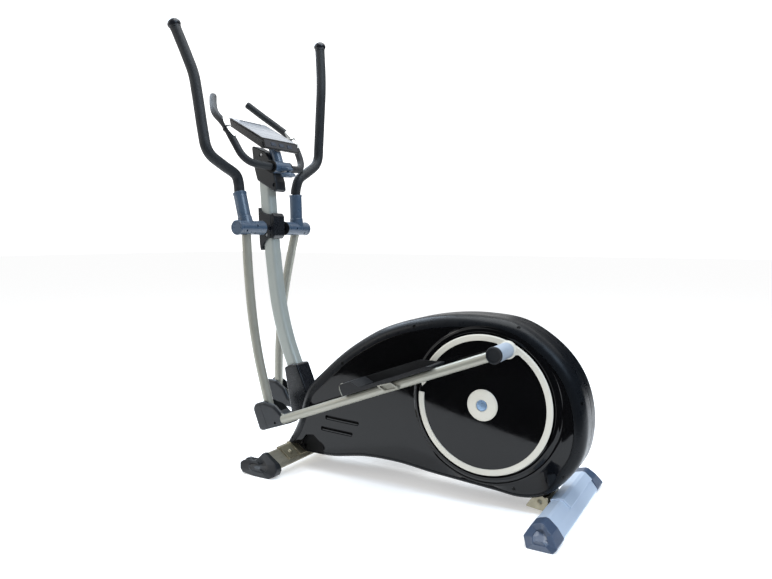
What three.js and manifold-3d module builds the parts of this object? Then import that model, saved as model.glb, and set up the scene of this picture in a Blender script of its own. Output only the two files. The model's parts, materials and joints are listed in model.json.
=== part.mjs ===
// Elliptical trainer, in millimetres, +Z up.
// Built with x = 0 on the swing-arm pivot, +X toward the rider's rear end and +Y to the
// machine's right; at the end the whole model is moved so that its origin is the centre of
// its footprint box on the floor.
import * as THREE from 'three';
import { mergeVertices } from 'three/addons/utils/BufferGeometryUtils.js';
import Module from 'manifold-3d';

const wasm = await Module();
wasm.setup();

// ---------------------------------------------------------------- driving dimensions
const GAP = 0.4;                                   // clearance between touching pieces
const SIDES = { left: -1, right: 1 };
const PIVOT = { x: 0, z: 884.5 };                  // swing-arm axle
const ARM_LENGTH = 690;                            // axle to lower joint
const RAIL_LENGTH = 930;                           // lower joint to crank pin
const CRANK = { x: 902.4, z: 328.4 };              // crank axle
const CRANK_THROW = 197.4;
const CRANK_PHASE = THREE.MathUtils.degToRad(66.5); // left pin above the +X direction
const AXLE_RADIUS = 12;
const AXLE_HALF = 200;
const BARREL = { radius: 26, inner: 62, outer: 196 }; // arm pivot barrel, |y| span
const ARM_Y = 149;                                 // lateral place of the lower arm tube
const ARM_TUBE = { radius: 17, wall: 2 };
const HANDLE_TUBE = { radius: 14 };
const HANDLE_STEPS = 20;
const GRIP_RADIUS = 19.5;
const RAIL_Y = 188;
const RAIL_TUBE = { radius: 15.5, wall: 2 };
const RAIL_DROP = 27;                              // rail axis below the lower joint
const SLEEVE = { radius: 24.5, bore: 20.5, inner: 108, outer: 208 };
const DISC = { radius: 222.7, back: 92, face: 95.5 };
const PANEL_Y = 85;                                // flat side of the shell
const SHELL_WALL = 3;
const MAST = { depth: 54, width: 47, wall: 2.5 };
const FLYWHEEL = { x: 520, z: 300, radius: 120, pulley: 20 };
const DRIVE_PULLEY_RADIUS = 140;
const BELT = { y0: 22, y1: 36, thickness: 3, gap: 1.2 };
const CONSOLE = { x: 38, z: 1212, tilt: 28.7, halfWidth: 104, length: 181 };
const BAR = { x: 34, z: 1113, radius: 12.5 };      // handlebar in its clamp
const KNOB = { x: 74, earZ: 1104, stud: 5 };       // clamp knob, upright axis

// ---------------------------------------------------------------- solids and booleans
function toSolid(geometry) {
  const bare = geometry.index ? geometry.toNonIndexed() : geometry.clone();
  bare.deleteAttribute('normal');
  bare.deleteAttribute('uv');
  const merged = mergeVertices(bare, 1e-4);
  const mesh = new wasm.Mesh({
    numProp: 3,
    vertProperties: new Float32Array(merged.attributes.position.array),
    triVerts: new Uint32Array(merged.index.array),
  });
  mesh.merge();
  return new wasm.Manifold(mesh);
}

function toGeometry(solid) {
  const mesh = solid.getMesh();
  const geometry = new THREE.BufferGeometry();
  geometry.setAttribute('position', new THREE.BufferAttribute(mesh.vertProperties, 3));
  geometry.setIndex(new THREE.BufferAttribute(mesh.triVerts, 1));
  return geometry;
}

const join = (first, ...rest) => rest.reduce((sum, solid) => sum.add(solid), first);
const cut = (body, ...tools) => tools.reduce((left, tool) => left.subtract(tool), body);

function box(x0, x1, y0, y1, z0, z1) {
  const geometry = new THREE.BoxGeometry(x1 - x0, Math.abs(y1 - y0), z1 - z0);
  geometry.translate((x0 + x1) / 2, (y0 + y1) / 2, (z0 + z1) / 2);
  return toSolid(geometry);
}

// Cylinder between two points.
function rod(radius, from, to, sides = 16) {
  const start = new THREE.Vector3(...from);
  const end = new THREE.Vector3(...to);
  const axis = end.clone().sub(start);
  const geometry = new THREE.CylinderGeometry(radius, radius, axis.length(), sides);
  const turn = new THREE.Quaternion().setFromUnitVectors(new THREE.Vector3(0, 1, 0), axis.normalize());
  geometry.applyQuaternion(turn);
  geometry.translate((start.x + end.x) / 2, (start.y + end.y) / 2, (start.z + end.z) / 2);
  return toSolid(geometry);
}

// Cylinder across the machine, centred on (x, z).
const drum = (radius, x, z, y0, y1, sides = 16) => rod(radius, [x, y0, z], [x, y1, z], sides);

function shapeOf(points) {
  return new THREE.Shape(points.map(([x, z]) => new THREE.Vector2(x, z)));
}

// Side outline in the XZ plane, extruded across the machine from y0 to y1.
function slab(outline, y0, y1, bevel = 0, bevelSegments = 1, curveSegments = 4) {
  const shape = outline instanceof THREE.Shape ? outline : shapeOf(outline);
  const low = Math.min(y0, y1);
  const high = Math.max(y0, y1);
  const geometry = new THREE.ExtrudeGeometry(shape, {
    depth: high - low - 2 * bevel,
    bevelEnabled: bevel > 0,
    bevelThickness: bevel,
    bevelSize: bevel,
    bevelOffset: -bevel,
    bevelSegments,
    curveSegments,
  });
  geometry.rotateX(Math.PI / 2);
  geometry.translate(0, high - bevel, 0);
  return toSolid(geometry);
}

// Round tube along a curve; wall = 0 makes it solid.
function pipe(curve, radius, wall, steps, sides = 10) {
  const ring = new THREE.Shape();
  ring.absarc(0, 0, radius, 0, 2 * Math.PI, false);
  if (wall > 0) {
    const hole = new THREE.Path();
    hole.absarc(0, 0, radius - wall, 0, 2 * Math.PI, true);
    ring.holes.push(hole);
  }
  const geometry = new THREE.ExtrudeGeometry(ring, {
    steps,
    curveSegments: sides / 2,
    extrudePath: curve,
  });
  return toSolid(geometry);
}

// Turned piece about a Y axis: profile of [radius, y] pairs, which closes on itself unless it
// starts and ends on the axis.
function turned(profile, x, z, sides = 16) {
  const loop = profile[0][0] > 0 ? [...profile, profile[0]] : profile;
  const points = loop.map(([radius, y]) => new THREE.Vector2(radius, y));
  const geometry = new THREE.LatheGeometry(points, sides);
  geometry.translate(x, 0, z);
  return toSolid(geometry);
}

// Ring across the machine, centred on (x, z).
function ring(outer, inner, x, z, y0, y1, sides = 24) {
  const reach = Math.sign(y1 - y0);
  return cut(drum(outer, x, z, y0, y1, sides), drum(inner, x, z, y0 - reach, y1 + reach, sides));
}

const curve3 = (points) => new THREE.CatmullRomCurve3(
  points.map((point) => new THREE.Vector3(...point)), false, 'centripetal');

// ---------------------------------------------------------------- materials and pieces
const FINISHES = {
  silver: { color: 0xb9b7a9, metalness: 0.6, roughness: 0.38 },
  mastGrey: { color: 0xa9ada0, metalness: 0.5, roughness: 0.4 },
  blackGloss: { color: 0x0c0d10, metalness: 0.1, roughness: 0.12 },
  blackSatin: { color: 0x22262c, metalness: 0.1, roughness: 0.45 },
  rubber: { color: 0x17181b, metalness: 0, roughness: 0.8 },
  foam: { color: 0x1d2024, metalness: 0, roughness: 0.9 },
  steel: { color: 0x9a9da0, metalness: 0.9, roughness: 0.35 },
  darkSteel: { color: 0x2a2c2e, metalness: 0.7, roughness: 0.5 },
  chrome: { color: 0xb4b6b8, metalness: 1, roughness: 0.2 },
  cream: { color: 0xc9c2ae, metalness: 0.1, roughness: 0.4 },
  display: { color: 0xb8bcc0, metalness: 0, roughness: 0.15 },
  buttonBlue: { color: 0x4c5b6e, metalness: 0, roughness: 0.4 },
};
const materials = Object.fromEntries(
  Object.entries(FINISHES).map(([name, values]) => [name, new THREE.MeshStandardMaterial(values)]));

const trainer = new THREE.Group();

function piece(name, solid, finish, parent = trainer) {
  const mesh = new THREE.Mesh(toGeometry(solid), materials[finish]);
  mesh.name = name;
  parent.add(mesh);
  return mesh;
}

// Group whose local X axis is turned up by an angle in the XZ plane.
function turnedGroup(x, z, angle) {
  const group = new THREE.Group();
  group.position.set(x, 0, z);
  group.rotation.y = -angle;
  trainer.add(group);
  return group;
}

// ---------------------------------------------------------------- linkage at rest
// Lower joint where the arm circle about the pivot meets the rail circle about the pin.
function linkage(phase) {
  const pin = {
    x: CRANK.x + CRANK_THROW * Math.cos(phase),
    z: CRANK.z + CRANK_THROW * Math.sin(phase),
  };
  const dx = pin.x - PIVOT.x;
  const dz = pin.z - PIVOT.z;
  const distance = Math.hypot(dx, dz);
  const along = (distance ** 2 + ARM_LENGTH ** 2 - RAIL_LENGTH ** 2) / (2 * distance);
  const across = Math.sqrt(ARM_LENGTH ** 2 - along ** 2);
  const joint = {
    x: PIVOT.x + (along * dx + across * dz) / distance,
    z: PIVOT.z + (along * dz - across * dx) / distance,
  };
  return {
    pin,
    joint,
    armAngle: Math.atan2(joint.x - PIVOT.x, PIVOT.z - joint.z),
    railAngle: Math.atan2(pin.z - joint.z, pin.x - joint.x),
  };
}
const LINKAGES = { left: linkage(CRANK_PHASE), right: linkage(CRANK_PHASE + Math.PI) };

// ---------------------------------------------------------------- mast line
const MAST_LINE = new THREE.SplineCurve([
  [-30, 1130], [-22, 1000], [-12, 884], [3, 740], [25, 590], [60, 462], [108, 345], [182, 180],
].map(([x, z]) => new THREE.Vector2(x, z)));

// Band of given depth around the mast line, between two fractions of its length.
function mastBand(depth, from, to, steps) {
  const front = [];
  const rear = [];
  for (let i = 0; i <= steps; i += 1) {
    const t = from + (to - from) * i / steps;
    const point = MAST_LINE.getPointAt(t);
    const tangent = MAST_LINE.getTangentAt(t);
    front.push([point.x + tangent.y * depth / 2, point.y - tangent.x * depth / 2]);
    rear.push([point.x - tangent.y * depth / 2, point.y + tangent.x * depth / 2]);
  }
  return shapeOf([...front, ...rear.reverse()]);
}
const mastOuter = (grow) => slab(
  mastBand(MAST.depth + 2 * grow, 0, 1, 12), -MAST.width / 2 - grow, MAST.width / 2 + grow, 8, 1);

// ---------------------------------------------------------------- main frame
// Each stabiliser's tube section, its half length, and its end caps: where they begin, and
// where their raked end is at the floor and at the given height.
const STABILIZER = {
  front: {
    section: [[126, 30], [185, 30], [189, 34], [179, 48], [134, 79], [125, 79], [122, 75], [122, 34]],
    end: 222, capStart: 203, capFoot: 242, capTop: 217, capHeight: 83,
  },
  rear: {
    section: [[1120, 14], [1180, 14], [1184, 18], [1168, 37], [1149, 54], [1141, 54], [1118, 46], [1115, 20]],
    end: 246, capStart: 212, capFoot: 295, capTop: 262, capHeight: 65,
  },
};

function stabilizerTube(spec, grow, halfLength) {
  const section = new wasm.CrossSection([spec.section], 'NonZero').offset(grow, 'Miter', 2);
  return section.extrude(2 * halfLength).rotate([90, 0, 0]).translate([0, halfLength, 0]);
}

const MAGNET_HINGE = { x: 470, z: 150 };

function mainFrame() {
  const beam = slab([
    [146, 90], [215, 90], [300, 92], [1000, 92], [1070, 32], [1103, 32],
    [1103, 56], [1088, 66], [1016, 132], [300, 132], [215, 122], [150, 122],
  ], -25, 25);
  const stub = slab(mastBand(MAST.depth - 2 * MAST.wall - 7, 0.79, 1, 4), -19, 19);
  const stubFoot = slab([[150, 100], [215, 100], [200, 192], [166, 182]], -19, 19);
  const saddle = slab([
    [124, 79.5], [134.1, 79.5], [179.4, 48.3], [185, 51], [137, 84], [124, 84],
  ], -147, 147);
  const riser = slab([[126, 83], [137, 83], [182, 52], [190, 56], [168, 96], [146, 96]], -56, 56);
  const rearPlate = slab([[1097, 14], [1103, 14], [1103, 58], [1097, 58]], -60, 60);
  const bracket = slab([[1040, 22], [1103, 14], [1103, 19], [1040, 27]], -60, 60);
  const brace = slab([[1060, 24], [1100, 18], [1100, 40], [1072, 40]], -14, 14);
  const solids = [beam, stub, stubFoot, saddle, riser, rearPlate, bracket, brace];
  solids.push(box(842, 962, -56, 56, 96, 128));
  solids.push(box(472, 568, -50, 50, 96, 128));
  for (const side of [-1, 1]) {
    const crankPlate = [[845, 100], [960, 100], [930, CRANK.z], [875, CRANK.z]];
    solids.push(slab(crankPlate, side * 50, side * 56));
    solids.push(drum(28, CRANK.x, CRANK.z, side * 44, side * 62));
    const forkPlate = [[475, 100], [565, 100], [540, FLYWHEEL.z], [500, FLYWHEEL.z]];
    solids.push(slab(forkPlate, side * 42, side * 48));
    solids.push(drum(20, FLYWHEEL.x, FLYWHEEL.z, side * 41, side * 50));
  }
  solids.push(drum(8, FLYWHEEL.x, FLYWHEEL.z, -56, 56, 16));
  for (const [y0, y1] of [[-24, -19], [12, 17]]) {
    solids.push(slab([[456, 126], [484, 126], [480, 160], [460, 160]], y0, y1));
  }
  solids.push(drum(4, MAGNET_HINGE.x, MAGNET_HINGE.z, -22, 15, 12));
  return cut(join(...solids), drum(AXLE_RADIUS + GAP, CRANK.x, CRANK.z, -70, 70));
}

// ---------------------------------------------------------------- stabilisers and feet
const FRONT_FOOT = [
  [96, 0], [162, 0], [184, 10], [192, 26], [191, 36], [181, 51], [130, 82], [118, 80], [92, 52],
  [62, 50], [36, 45], [23, 36], [28, 16], [42, 5],
];
const REAR_FOOT = [
  [1112, 0], [1186, 0], [1197, 12], [1176, 42], [1152, 63], [1143, 65], [1116, 57], [1099, 28],
];
const REAR_COVER = [
  [1108, 9], [1188, 5], [1195, 12], [1173, 39], [1150, 59], [1142, 61], [1114, 53], [1106, 34],
];
const REAR_COVER_END = 211.6;
const WHEEL = { x: 57, z: 29, radius: 26, y: 211, halfWidth: 9, slot: 12 };

// End cap whose outer face leans in toward its top.
function foot(outline, spec, side) {
  const body = slab(outline, side * spec.capStart, side * (spec.capFoot + 10), 0);
  const rake = Math.atan2(spec.capFoot - spec.capTop, spec.capHeight);
  const beyond = new THREE.BoxGeometry(400, 60, 300);
  beyond.translate(outline[0][0], side * 30, 0);
  beyond.rotateX(side * rake);
  beyond.translate(0, side * spec.capFoot, 0);
  return cut(body, toSolid(beyond), stabilizerTube(spec, GAP, spec.end + GAP));
}

function frontFoot(side) {
  const slot = [side * (WHEEL.y - WHEEL.slot), side * (WHEEL.y + WHEEL.slot)];
  const cheek = slab(FRONT_FOOT, side * 193, side * 204).intersect(box(0, 116, side * 190, side * 210, 0, 60));
  const wheelWell = drum(WHEEL.radius + 3, WHEEL.x, WHEEL.z, ...slot, 24);
  const opening = box(0, WHEEL.x + WHEEL.radius, ...slot, -2, 100);
  const pin = drum(4, WHEEL.x, WHEEL.z, side * 195, side * 228, 12);
  const body = join(foot(FRONT_FOOT, STABILIZER.front, side), cheek);
  return join(cut(body, wheelWell, opening), pin);
}

// ---------------------------------------------------------------- shell
// Crest line, then the flat panel's edge a rounded band further in.
const CREST = new THREE.CatmullRomCurve3([
  [104, 58], [116, 90], [133, 122], [164, 188], [181, 250], [208, 305], [269, 365], [340, 427], [409, 477],
  [517, 538], [644, 580], [763, 601], [877, 605], [986, 592], [1065, 555], [1141, 491], [1192, 410],
  [1216, 300], [1201, 189], [1153, 114], [1092, 60], [1020, 42], [933, 48], [823, 56], [707, 65],
  [585, 78], [456, 78], [320, 57], [200, 56],
].map(([x, z]) => new THREE.Vector3(x, 0, z)), true, 'centripetal');
const SHELL_STEPS = { outer: 44, inner: 28 };
const CREST_HALF = 40;
const SHELL_MIDDLE = { x: 620, z: 260 };

function shellLoft(inset, steps) {
  const bands = [0, 0.4, 0.75, 1].map((t) => t * Math.PI / 2);
  const rings = [];
  const lateral = [];
  for (const angle of bands) {
    lateral.push(CREST_HALF - inset / 2 + (PANEL_Y - CREST_HALF - inset / 2) * Math.sin(angle));
    const ringPoints = [];
    for (let i = 0; i < steps; i += 1) {
      const point = CREST.getPointAt(i / steps);
      const tangent = CREST.getTangentAt(i / steps);
      const band = THREE.MathUtils.mapLinear(point.x, 100, 1216, 44, 33);
      const offset = inset + band * (1 - Math.cos(angle)) * (point.z < 100 ? 0.45 : 1);
      ringPoints.push([point.x + tangent.z * offset, point.z - tangent.x * offset]);
    }
    rings.push(ringPoints);
  }
  return { rings, lateral };
}

// Half of the shell as a closed solid from y = 0 to the panel on the given side.
function shellHalf(side, inset, start, steps = SHELL_STEPS.outer) {
  const { rings, lateral } = shellLoft(inset, steps);
  const rows = [{ points: rings[0], y: start }];
  rings.forEach((points, index) => rows.push({ points, y: lateral[index] }));
  const positions = [];
  const count = steps;
  rows.forEach(({ points, y }) => points.forEach(([x, z]) => positions.push(x, side * y, z)));
  const indices = [];
  const face = (outward, a, b, c) => indices.push(...(outward ? [a, b, c] : [a, c, b]));
  for (let row = 0; row + 1 < rows.length; row += 1) {
    for (let i = 0; i < count; i += 1) {
      const next = (i + 1) % count;
      const [near, far] = [row * count, (row + 1) * count];
      face(side > 0, near + i, near + next, far + next);
      face(side > 0, near + i, far + next, far + i);
    }
  }
  const cap = (row, facesBack) => {
    const middle = positions.length / 3;
    positions.push(SHELL_MIDDLE.x, side * rows[row].y, SHELL_MIDDLE.z);
    for (let i = 0; i < count; i += 1) {
      face(facesBack, row * count + (i + 1) % count, row * count + i, middle);
    }
  };
  cap(0, side > 0);
  cap(rows.length - 1, side < 0);
  const geometry = new THREE.BufferGeometry();
  geometry.setAttribute('position', new THREE.Float32BufferAttribute(positions, 3));
  geometry.setIndex(indices);
  return toSolid(geometry);
}

const BOOT = [[74, 356], [106, 371], [136, 375], [198, 232], [188, 196], [124, 172], [108, 180]];
const bootOuter = (grow) => slab(BOOT, -38 - grow, 38 + grow, 7, 1);

const INLET = { x: 226, z: 174, radius: 8 };
const VENTS = [
  { x0: 300, x1: 445, z: 206, slope: -0.033 },
  { x0: 281, x1: 419, z: 163, slope: -0.028 },
];

function shell(side) {
  const outer = shellHalf(side, 0, GAP / 2);
  const inner = shellHalf(side, SHELL_WALL, -1, SHELL_STEPS.inner);
  const rim = ring(238, 228, CRANK.x, CRANK.z, side * (PANEL_Y - 2), side * 92, 32);
  let body = join(cut(outer, inner), rim);
  body = cut(body, drum(30, CRANK.x, CRANK.z, side * 60, side * 100));
  body = cut(body, box(120, 202, -64, 64, 28, 92), bootOuter(GAP));
  body = cut(body, box(90, 202, -120, 120, 20, 90));
  body = cut(body, box(1000, 1110, -28, 28, 20, 90), box(1030, 1110, -63, 63, 6, 62));
  body = cut(body, slab(mastBand(MAST.depth + 2, 0.7, 1, 4), -26, 26));
  const recess = [[209, 40], [212, 126], [220, 133], [246, 134], [286, 101], [290, 74], [276, 40]];
  const dish = slab(recess, side * (PANEL_Y - 9), side * (PANEL_Y + 5));
  const dishWall = slab([[203, 40], [206, 129], [217, 139], [249, 140], [292, 104], [296, 74], [283, 36]],
    side * (PANEL_Y - 12), side * (PANEL_Y - 1));
  body = cut(join(body, dishWall.intersect(shellHalf(side, 0, 2))), dish);
  if (side > 0) body = cut(body, drum(INLET.radius + GAP, INLET.x, INLET.z, 70, 100, 12));
  for (const vent of VENTS) {
    const slot = slab([
      [vent.x0, vent.z - 8], [vent.x1 - 8, vent.z - 8 + vent.slope * 180],
      [vent.x1, vent.z + 8 + vent.slope * 180], [vent.x0, vent.z + 8],
    ], side * (PANEL_Y - 8), side * (PANEL_Y + 5));
    body = cut(body, slot);
  }
  return body;
}

// ---------------------------------------------------------------- base group
function buildBase() {
  piece('main_frame', mainFrame(), 'darkSteel');
  for (const [end, spec] of Object.entries(STABILIZER)) {
    const tube = cut(stabilizerTube(spec, 0, spec.end), stabilizerTube(spec, -2.5, spec.end + 5));
    piece(`${end}_stabilizer`, tube, end === 'front' ? 'silver' : 'darkSteel');
  }
  const cover = cut(slab(REAR_COVER, -REAR_COVER_END, REAR_COVER_END),
    stabilizerTube(STABILIZER.rear, GAP, 300), box(1090, 1120, -63, 63, 0, 90));
  piece('rear_stabilizer_cover', cover, 'silver');
  for (const [name, side] of Object.entries(SIDES)) {
    piece(`front_foot_${name}`, frontFoot(side), 'rubber');
    piece(`rear_foot_${name}`, foot(REAR_FOOT, STABILIZER.rear, side), 'rubber');
    const wheel = turned([
      [4.4, -WHEEL.halfWidth], [WHEEL.radius - 4, -WHEEL.halfWidth], [WHEEL.radius, 4 - WHEEL.halfWidth],
      [WHEEL.radius, WHEEL.halfWidth - 4], [WHEEL.radius - 4, WHEEL.halfWidth], [4.4, WHEEL.halfWidth],
    ], WHEEL.x, WHEEL.z).translate([0, side * WHEEL.y, 0]);
    piece(`transport_wheel_${name}`, wheel, 'rubber');
    piece(`${name}_shell`, shell(side), 'blackGloss');
  }
}

// ---------------------------------------------------------------- mast group
const HEAD = [[-80, 1202], [-71, 1125], [-54, 1068], [30, 1021], [42, 1028], [38, 1060], [12, 1140], [-10, 1170]];

function buildMast() {
  const barrelHole = drum(AXLE_RADIUS + GAP, PIVOT.x, PIVOT.z, -60, 60);
  const bore = slab(mastBand(MAST.depth - 2 * MAST.wall, 0, 1, 12),
    -MAST.width / 2 + MAST.wall, MAST.width / 2 - MAST.wall, 5, 1);
  const ends = [box(-90, 40, -40, 40, 1100, 1160), box(120, 260, -40, 40, 120, 196)];
  const barrel = drum(18, PIVOT.x, PIVOT.z, -MAST.width / 2 + 1, MAST.width / 2 - 1);
  const mast = cut(join(cut(mastOuter(0), bore, ...ends), barrel), barrelHole);
  piece('mast', mast, 'mastGrey');
  const bootCavity = slab(mastBand(MAST.depth + 2 * GAP, 0.6, 1, 6),
    -MAST.width / 2 - GAP, MAST.width / 2 + GAP);
  piece('mast_foot_cover', cut(bootOuter(0), bootCavity), 'blackSatin');
  const clampSpace = drum(24, BAR.x, BAR.z, -60, 60);
  const head = cut(slab(HEAD, -29, 29, 4, 1), mastOuter(GAP), clampSpace);
  piece('mast_head_cover', head, 'blackSatin');
  const axleSpace = drum(19, PIVOT.x, PIVOT.z, -60, 60);
  const front = slab([[-49, 966], [13, 938], [9, 848], [-36, 798], [-44, 830], [-47, 900]], -30, 30, 2, 1);
  piece('pivot_cover_front', cut(front, mastOuter(GAP), axleSpace), 'blackSatin');
  const rear = slab([[13.5, 941], [22, 941], [27, 934], [27, 852], [22, 845], [9.5, 845]], -30, 30, 3, 1);
  const rearBody = cut(rear, mastOuter(GAP), axleSpace, slab(
    [[-49, 967], [13.4, 938.2], [9.4, 847.8], [-36, 797]], -40, 40));
  piece('pivot_cover_rear', rearBody, 'blackSatin');
  const axle = join(drum(AXLE_RADIUS, PIVOT.x, PIVOT.z, -AXLE_HALF, AXLE_HALF),
    ...[-1, 1].map((side) => drum(22, PIVOT.x, PIVOT.z, side * (AXLE_HALF - 3), side * (AXLE_HALF + 3))));
  piece('pivot_axle', axle, 'chrome');
}

// ---------------------------------------------------------------- fixed handlebar
const BAR_STEPS = 30;
const BAR_HALF = [
  [34, 0, 1113], [34, 45, 1113], [28, 95, 1115], [17, 145, 1122], [3, 173, 1144], [-22, 186, 1192],
  [-66, 188, 1258], [-121, 175, 1303], [-165, 140, 1343], [-207, 97, 1386],
];

function barCurve(side) {
  return curve3(BAR_HALF.map(([x, y, z]) => [x, side * y, z]));
}

function buildHandlebar() {
  const left = BAR_HALF.slice(1).map(([x, y, z]) => [x, -y, z]).reverse();
  const whole = curve3([...left, ...BAR_HALF]);
  piece('handlebar', pipe(whole, BAR.radius, 0, BAR_STEPS, 8), 'blackSatin');
  for (const [name, side] of Object.entries(SIDES)) {
    const points = [];
    const curve = barCurve(side);
    for (let i = 0; i <= 14; i += 1) points.push(curve.getPointAt(0.34 + 0.66 * i / 14));
    const end = points[14].clone();
    const beyond = end.clone().add(end.clone().sub(points[13]).normalize().multiplyScalar(6));
    const grip = pipe(new THREE.CatmullRomCurve3([...points, beyond], false, 'centripetal'), 14.8, 0, 12, 10);
    const tip = beyond.clone().lerp(points[14], 0.8);
    const core = join(pipe(whole, BAR.radius + GAP, 0, BAR_STEPS, 8),
      rod(BAR.radius + 1, points[14].toArray(), tip.toArray(), 8));
    piece(`handlebar_grip_${name}`, cut(grip, core), 'foam');
  }
  const ear = slab([
    [34, KNOB.earZ - 6], [KNOB.x + 14, KNOB.earZ - 6],
    [KNOB.x + 14, KNOB.earZ + 6], [34, KNOB.earZ + 6],
  ], -15, 15, 3);
  const clampBody = join(drum(23, BAR.x, BAR.z, -47, 47), ear);
  const head = slab(HEAD, -29 - GAP, 29 + GAP);
  const clampSpace = drum(24, BAR.x, BAR.z, -60, 60);
  const studHole = rod(KNOB.stud + GAP, [KNOB.x, 0, 1060], [KNOB.x, 0, 1140], 12);
  const barSpace = pipe(whole, BAR.radius + GAP, 0, BAR_STEPS, 8);
  const clamp = cut(clampBody, barSpace, cut(head, clampSpace), studHole);
  piece('handlebar_clamp', clamp, 'blackSatin');
  const knobProfile = [[0, 1074], [22, 1074], [28, 1080], [28, 1087], [20, 1094], [0, 1094]];
  const knob = new THREE.LatheGeometry(knobProfile.map(([x, z]) => new THREE.Vector2(x, z)), 20);
  knob.rotateX(Math.PI / 2);
  knob.translate(KNOB.x, 0, 0);
  const stud = rod(KNOB.stud, [KNOB.x, 0, 1085], [KNOB.x, 0, 1112], 12);
  piece('clamp_knob', join(toSolid(knob), stud), 'blackSatin');
}

// ---------------------------------------------------------------- console
const CHIN = { x: 26, z: -26 };
const BUTTONS = [-48, 0, 48];
const BUTTON_TRAVEL = 1.2;

function buildConsole() {
  const group = new THREE.Group();
  group.position.set(CONSOLE.x, 0, CONSOLE.z);
  group.rotation.y = THREE.MathUtils.degToRad(CONSOLE.tilt);
  trainer.add(group);
  const half = CONSOLE.halfWidth;
  const front = -CONSOLE.length;
  const faceOutline = [[front, 0], [0, 0], [CHIN.x, CHIN.z], [CHIN.x - 2.8, CHIN.z - 2.8], [-1.7, -4], [front, -4]];
  const windowCut = box(-153, -9, -89, 89, -6, 2);
  const ledge = box(front + 6, front + 13, -60, 60, -2, 2);
  const diagonal = Math.SQRT1_2;
  const buttonSolid = (grow, y, sink = 0) => {
    const geometry = new THREE.BoxGeometry(13 + 2 * grow, 26 + 2 * grow, 7 + 2 * grow + sink);
    geometry.rotateY(Math.PI / 4);
    const depth = (1.2 + sink / 2) * diagonal;
    geometry.translate(CHIN.x / 2 - depth, y, CHIN.z / 2 - depth);
    return toSolid(geometry);
  };
  let face = cut(slab(faceOutline, -half, half), windowCut, ledge);
  BUTTONS.forEach((y) => { face = cut(face, buttonSolid(0.5, y)); });
  piece('console_face', face, 'blackSatin', group);
  const tub = slab([[front, -4.4], [-1.9, -4.4], [22.9, -29.2], [14, -34], [-156, -28]], -half, half);
  const cavity = slab([[front + 10, -3], [-4, -3], [17, -24], [17, -27], [10, -30], [-152, -24.5]],
    -half + 3, half - 3);
  const turn = THREE.MathUtils.degToRad(CONSOLE.tilt);
  const toLocal = ([x, z]) => [
    (x - group.position.x) * Math.cos(turn) - (z - group.position.z) * Math.sin(turn),
    (x - group.position.x) * Math.sin(turn) + (z - group.position.z) * Math.cos(turn),
  ];
  const [low, high] = [[30, 1125], [8, 1191]].map(toLocal);
  const neck = cut(rod(19, [low[0], 0, low[1]], [high[0], 0, high[1]], 20),
    slab(HEAD.map(toLocal), -29 - GAP, 29 + GAP), drum(23 + GAP, ...toLocal([BAR.x, BAR.z]), -60, 60));
  const housing = cut(join(tub, neck), cavity, ...BUTTONS.map((y) => buttonSolid(0.5, y, BUTTON_TRAVEL + 0.4)));
  piece('console_housing', housing, 'blackSatin', group);
  piece('console_display', box(-152.4, -9.6, -88.4, 88.4, -3.6, -0.4), 'display', group);
  BUTTONS.forEach((y, index) => {
    piece(`console_button_${index + 1}`, buttonSolid(0, y), 'buttonBlue', group);
  });
}

// ---------------------------------------------------------------- drive
function beltShape(reach) {
  const big = DRIVE_PULLEY_RADIUS + reach;
  const small = FLYWHEEL.pulley + reach;
  const dx = CRANK.x - FLYWHEEL.x;
  const dz = CRANK.z - FLYWHEEL.z;
  const line = Math.atan2(dz, dx);
  const spread = Math.acos((big - small) / Math.hypot(dx, dz));
  const shape = new THREE.Shape();
  shape.absarc(CRANK.x, CRANK.z, big, line - Math.PI + spread, line + Math.PI - spread, false);
  shape.absarc(FLYWHEEL.x, FLYWHEEL.z, small, line + Math.PI - spread, line + Math.PI + spread, false);
  return shape;
}

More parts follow.
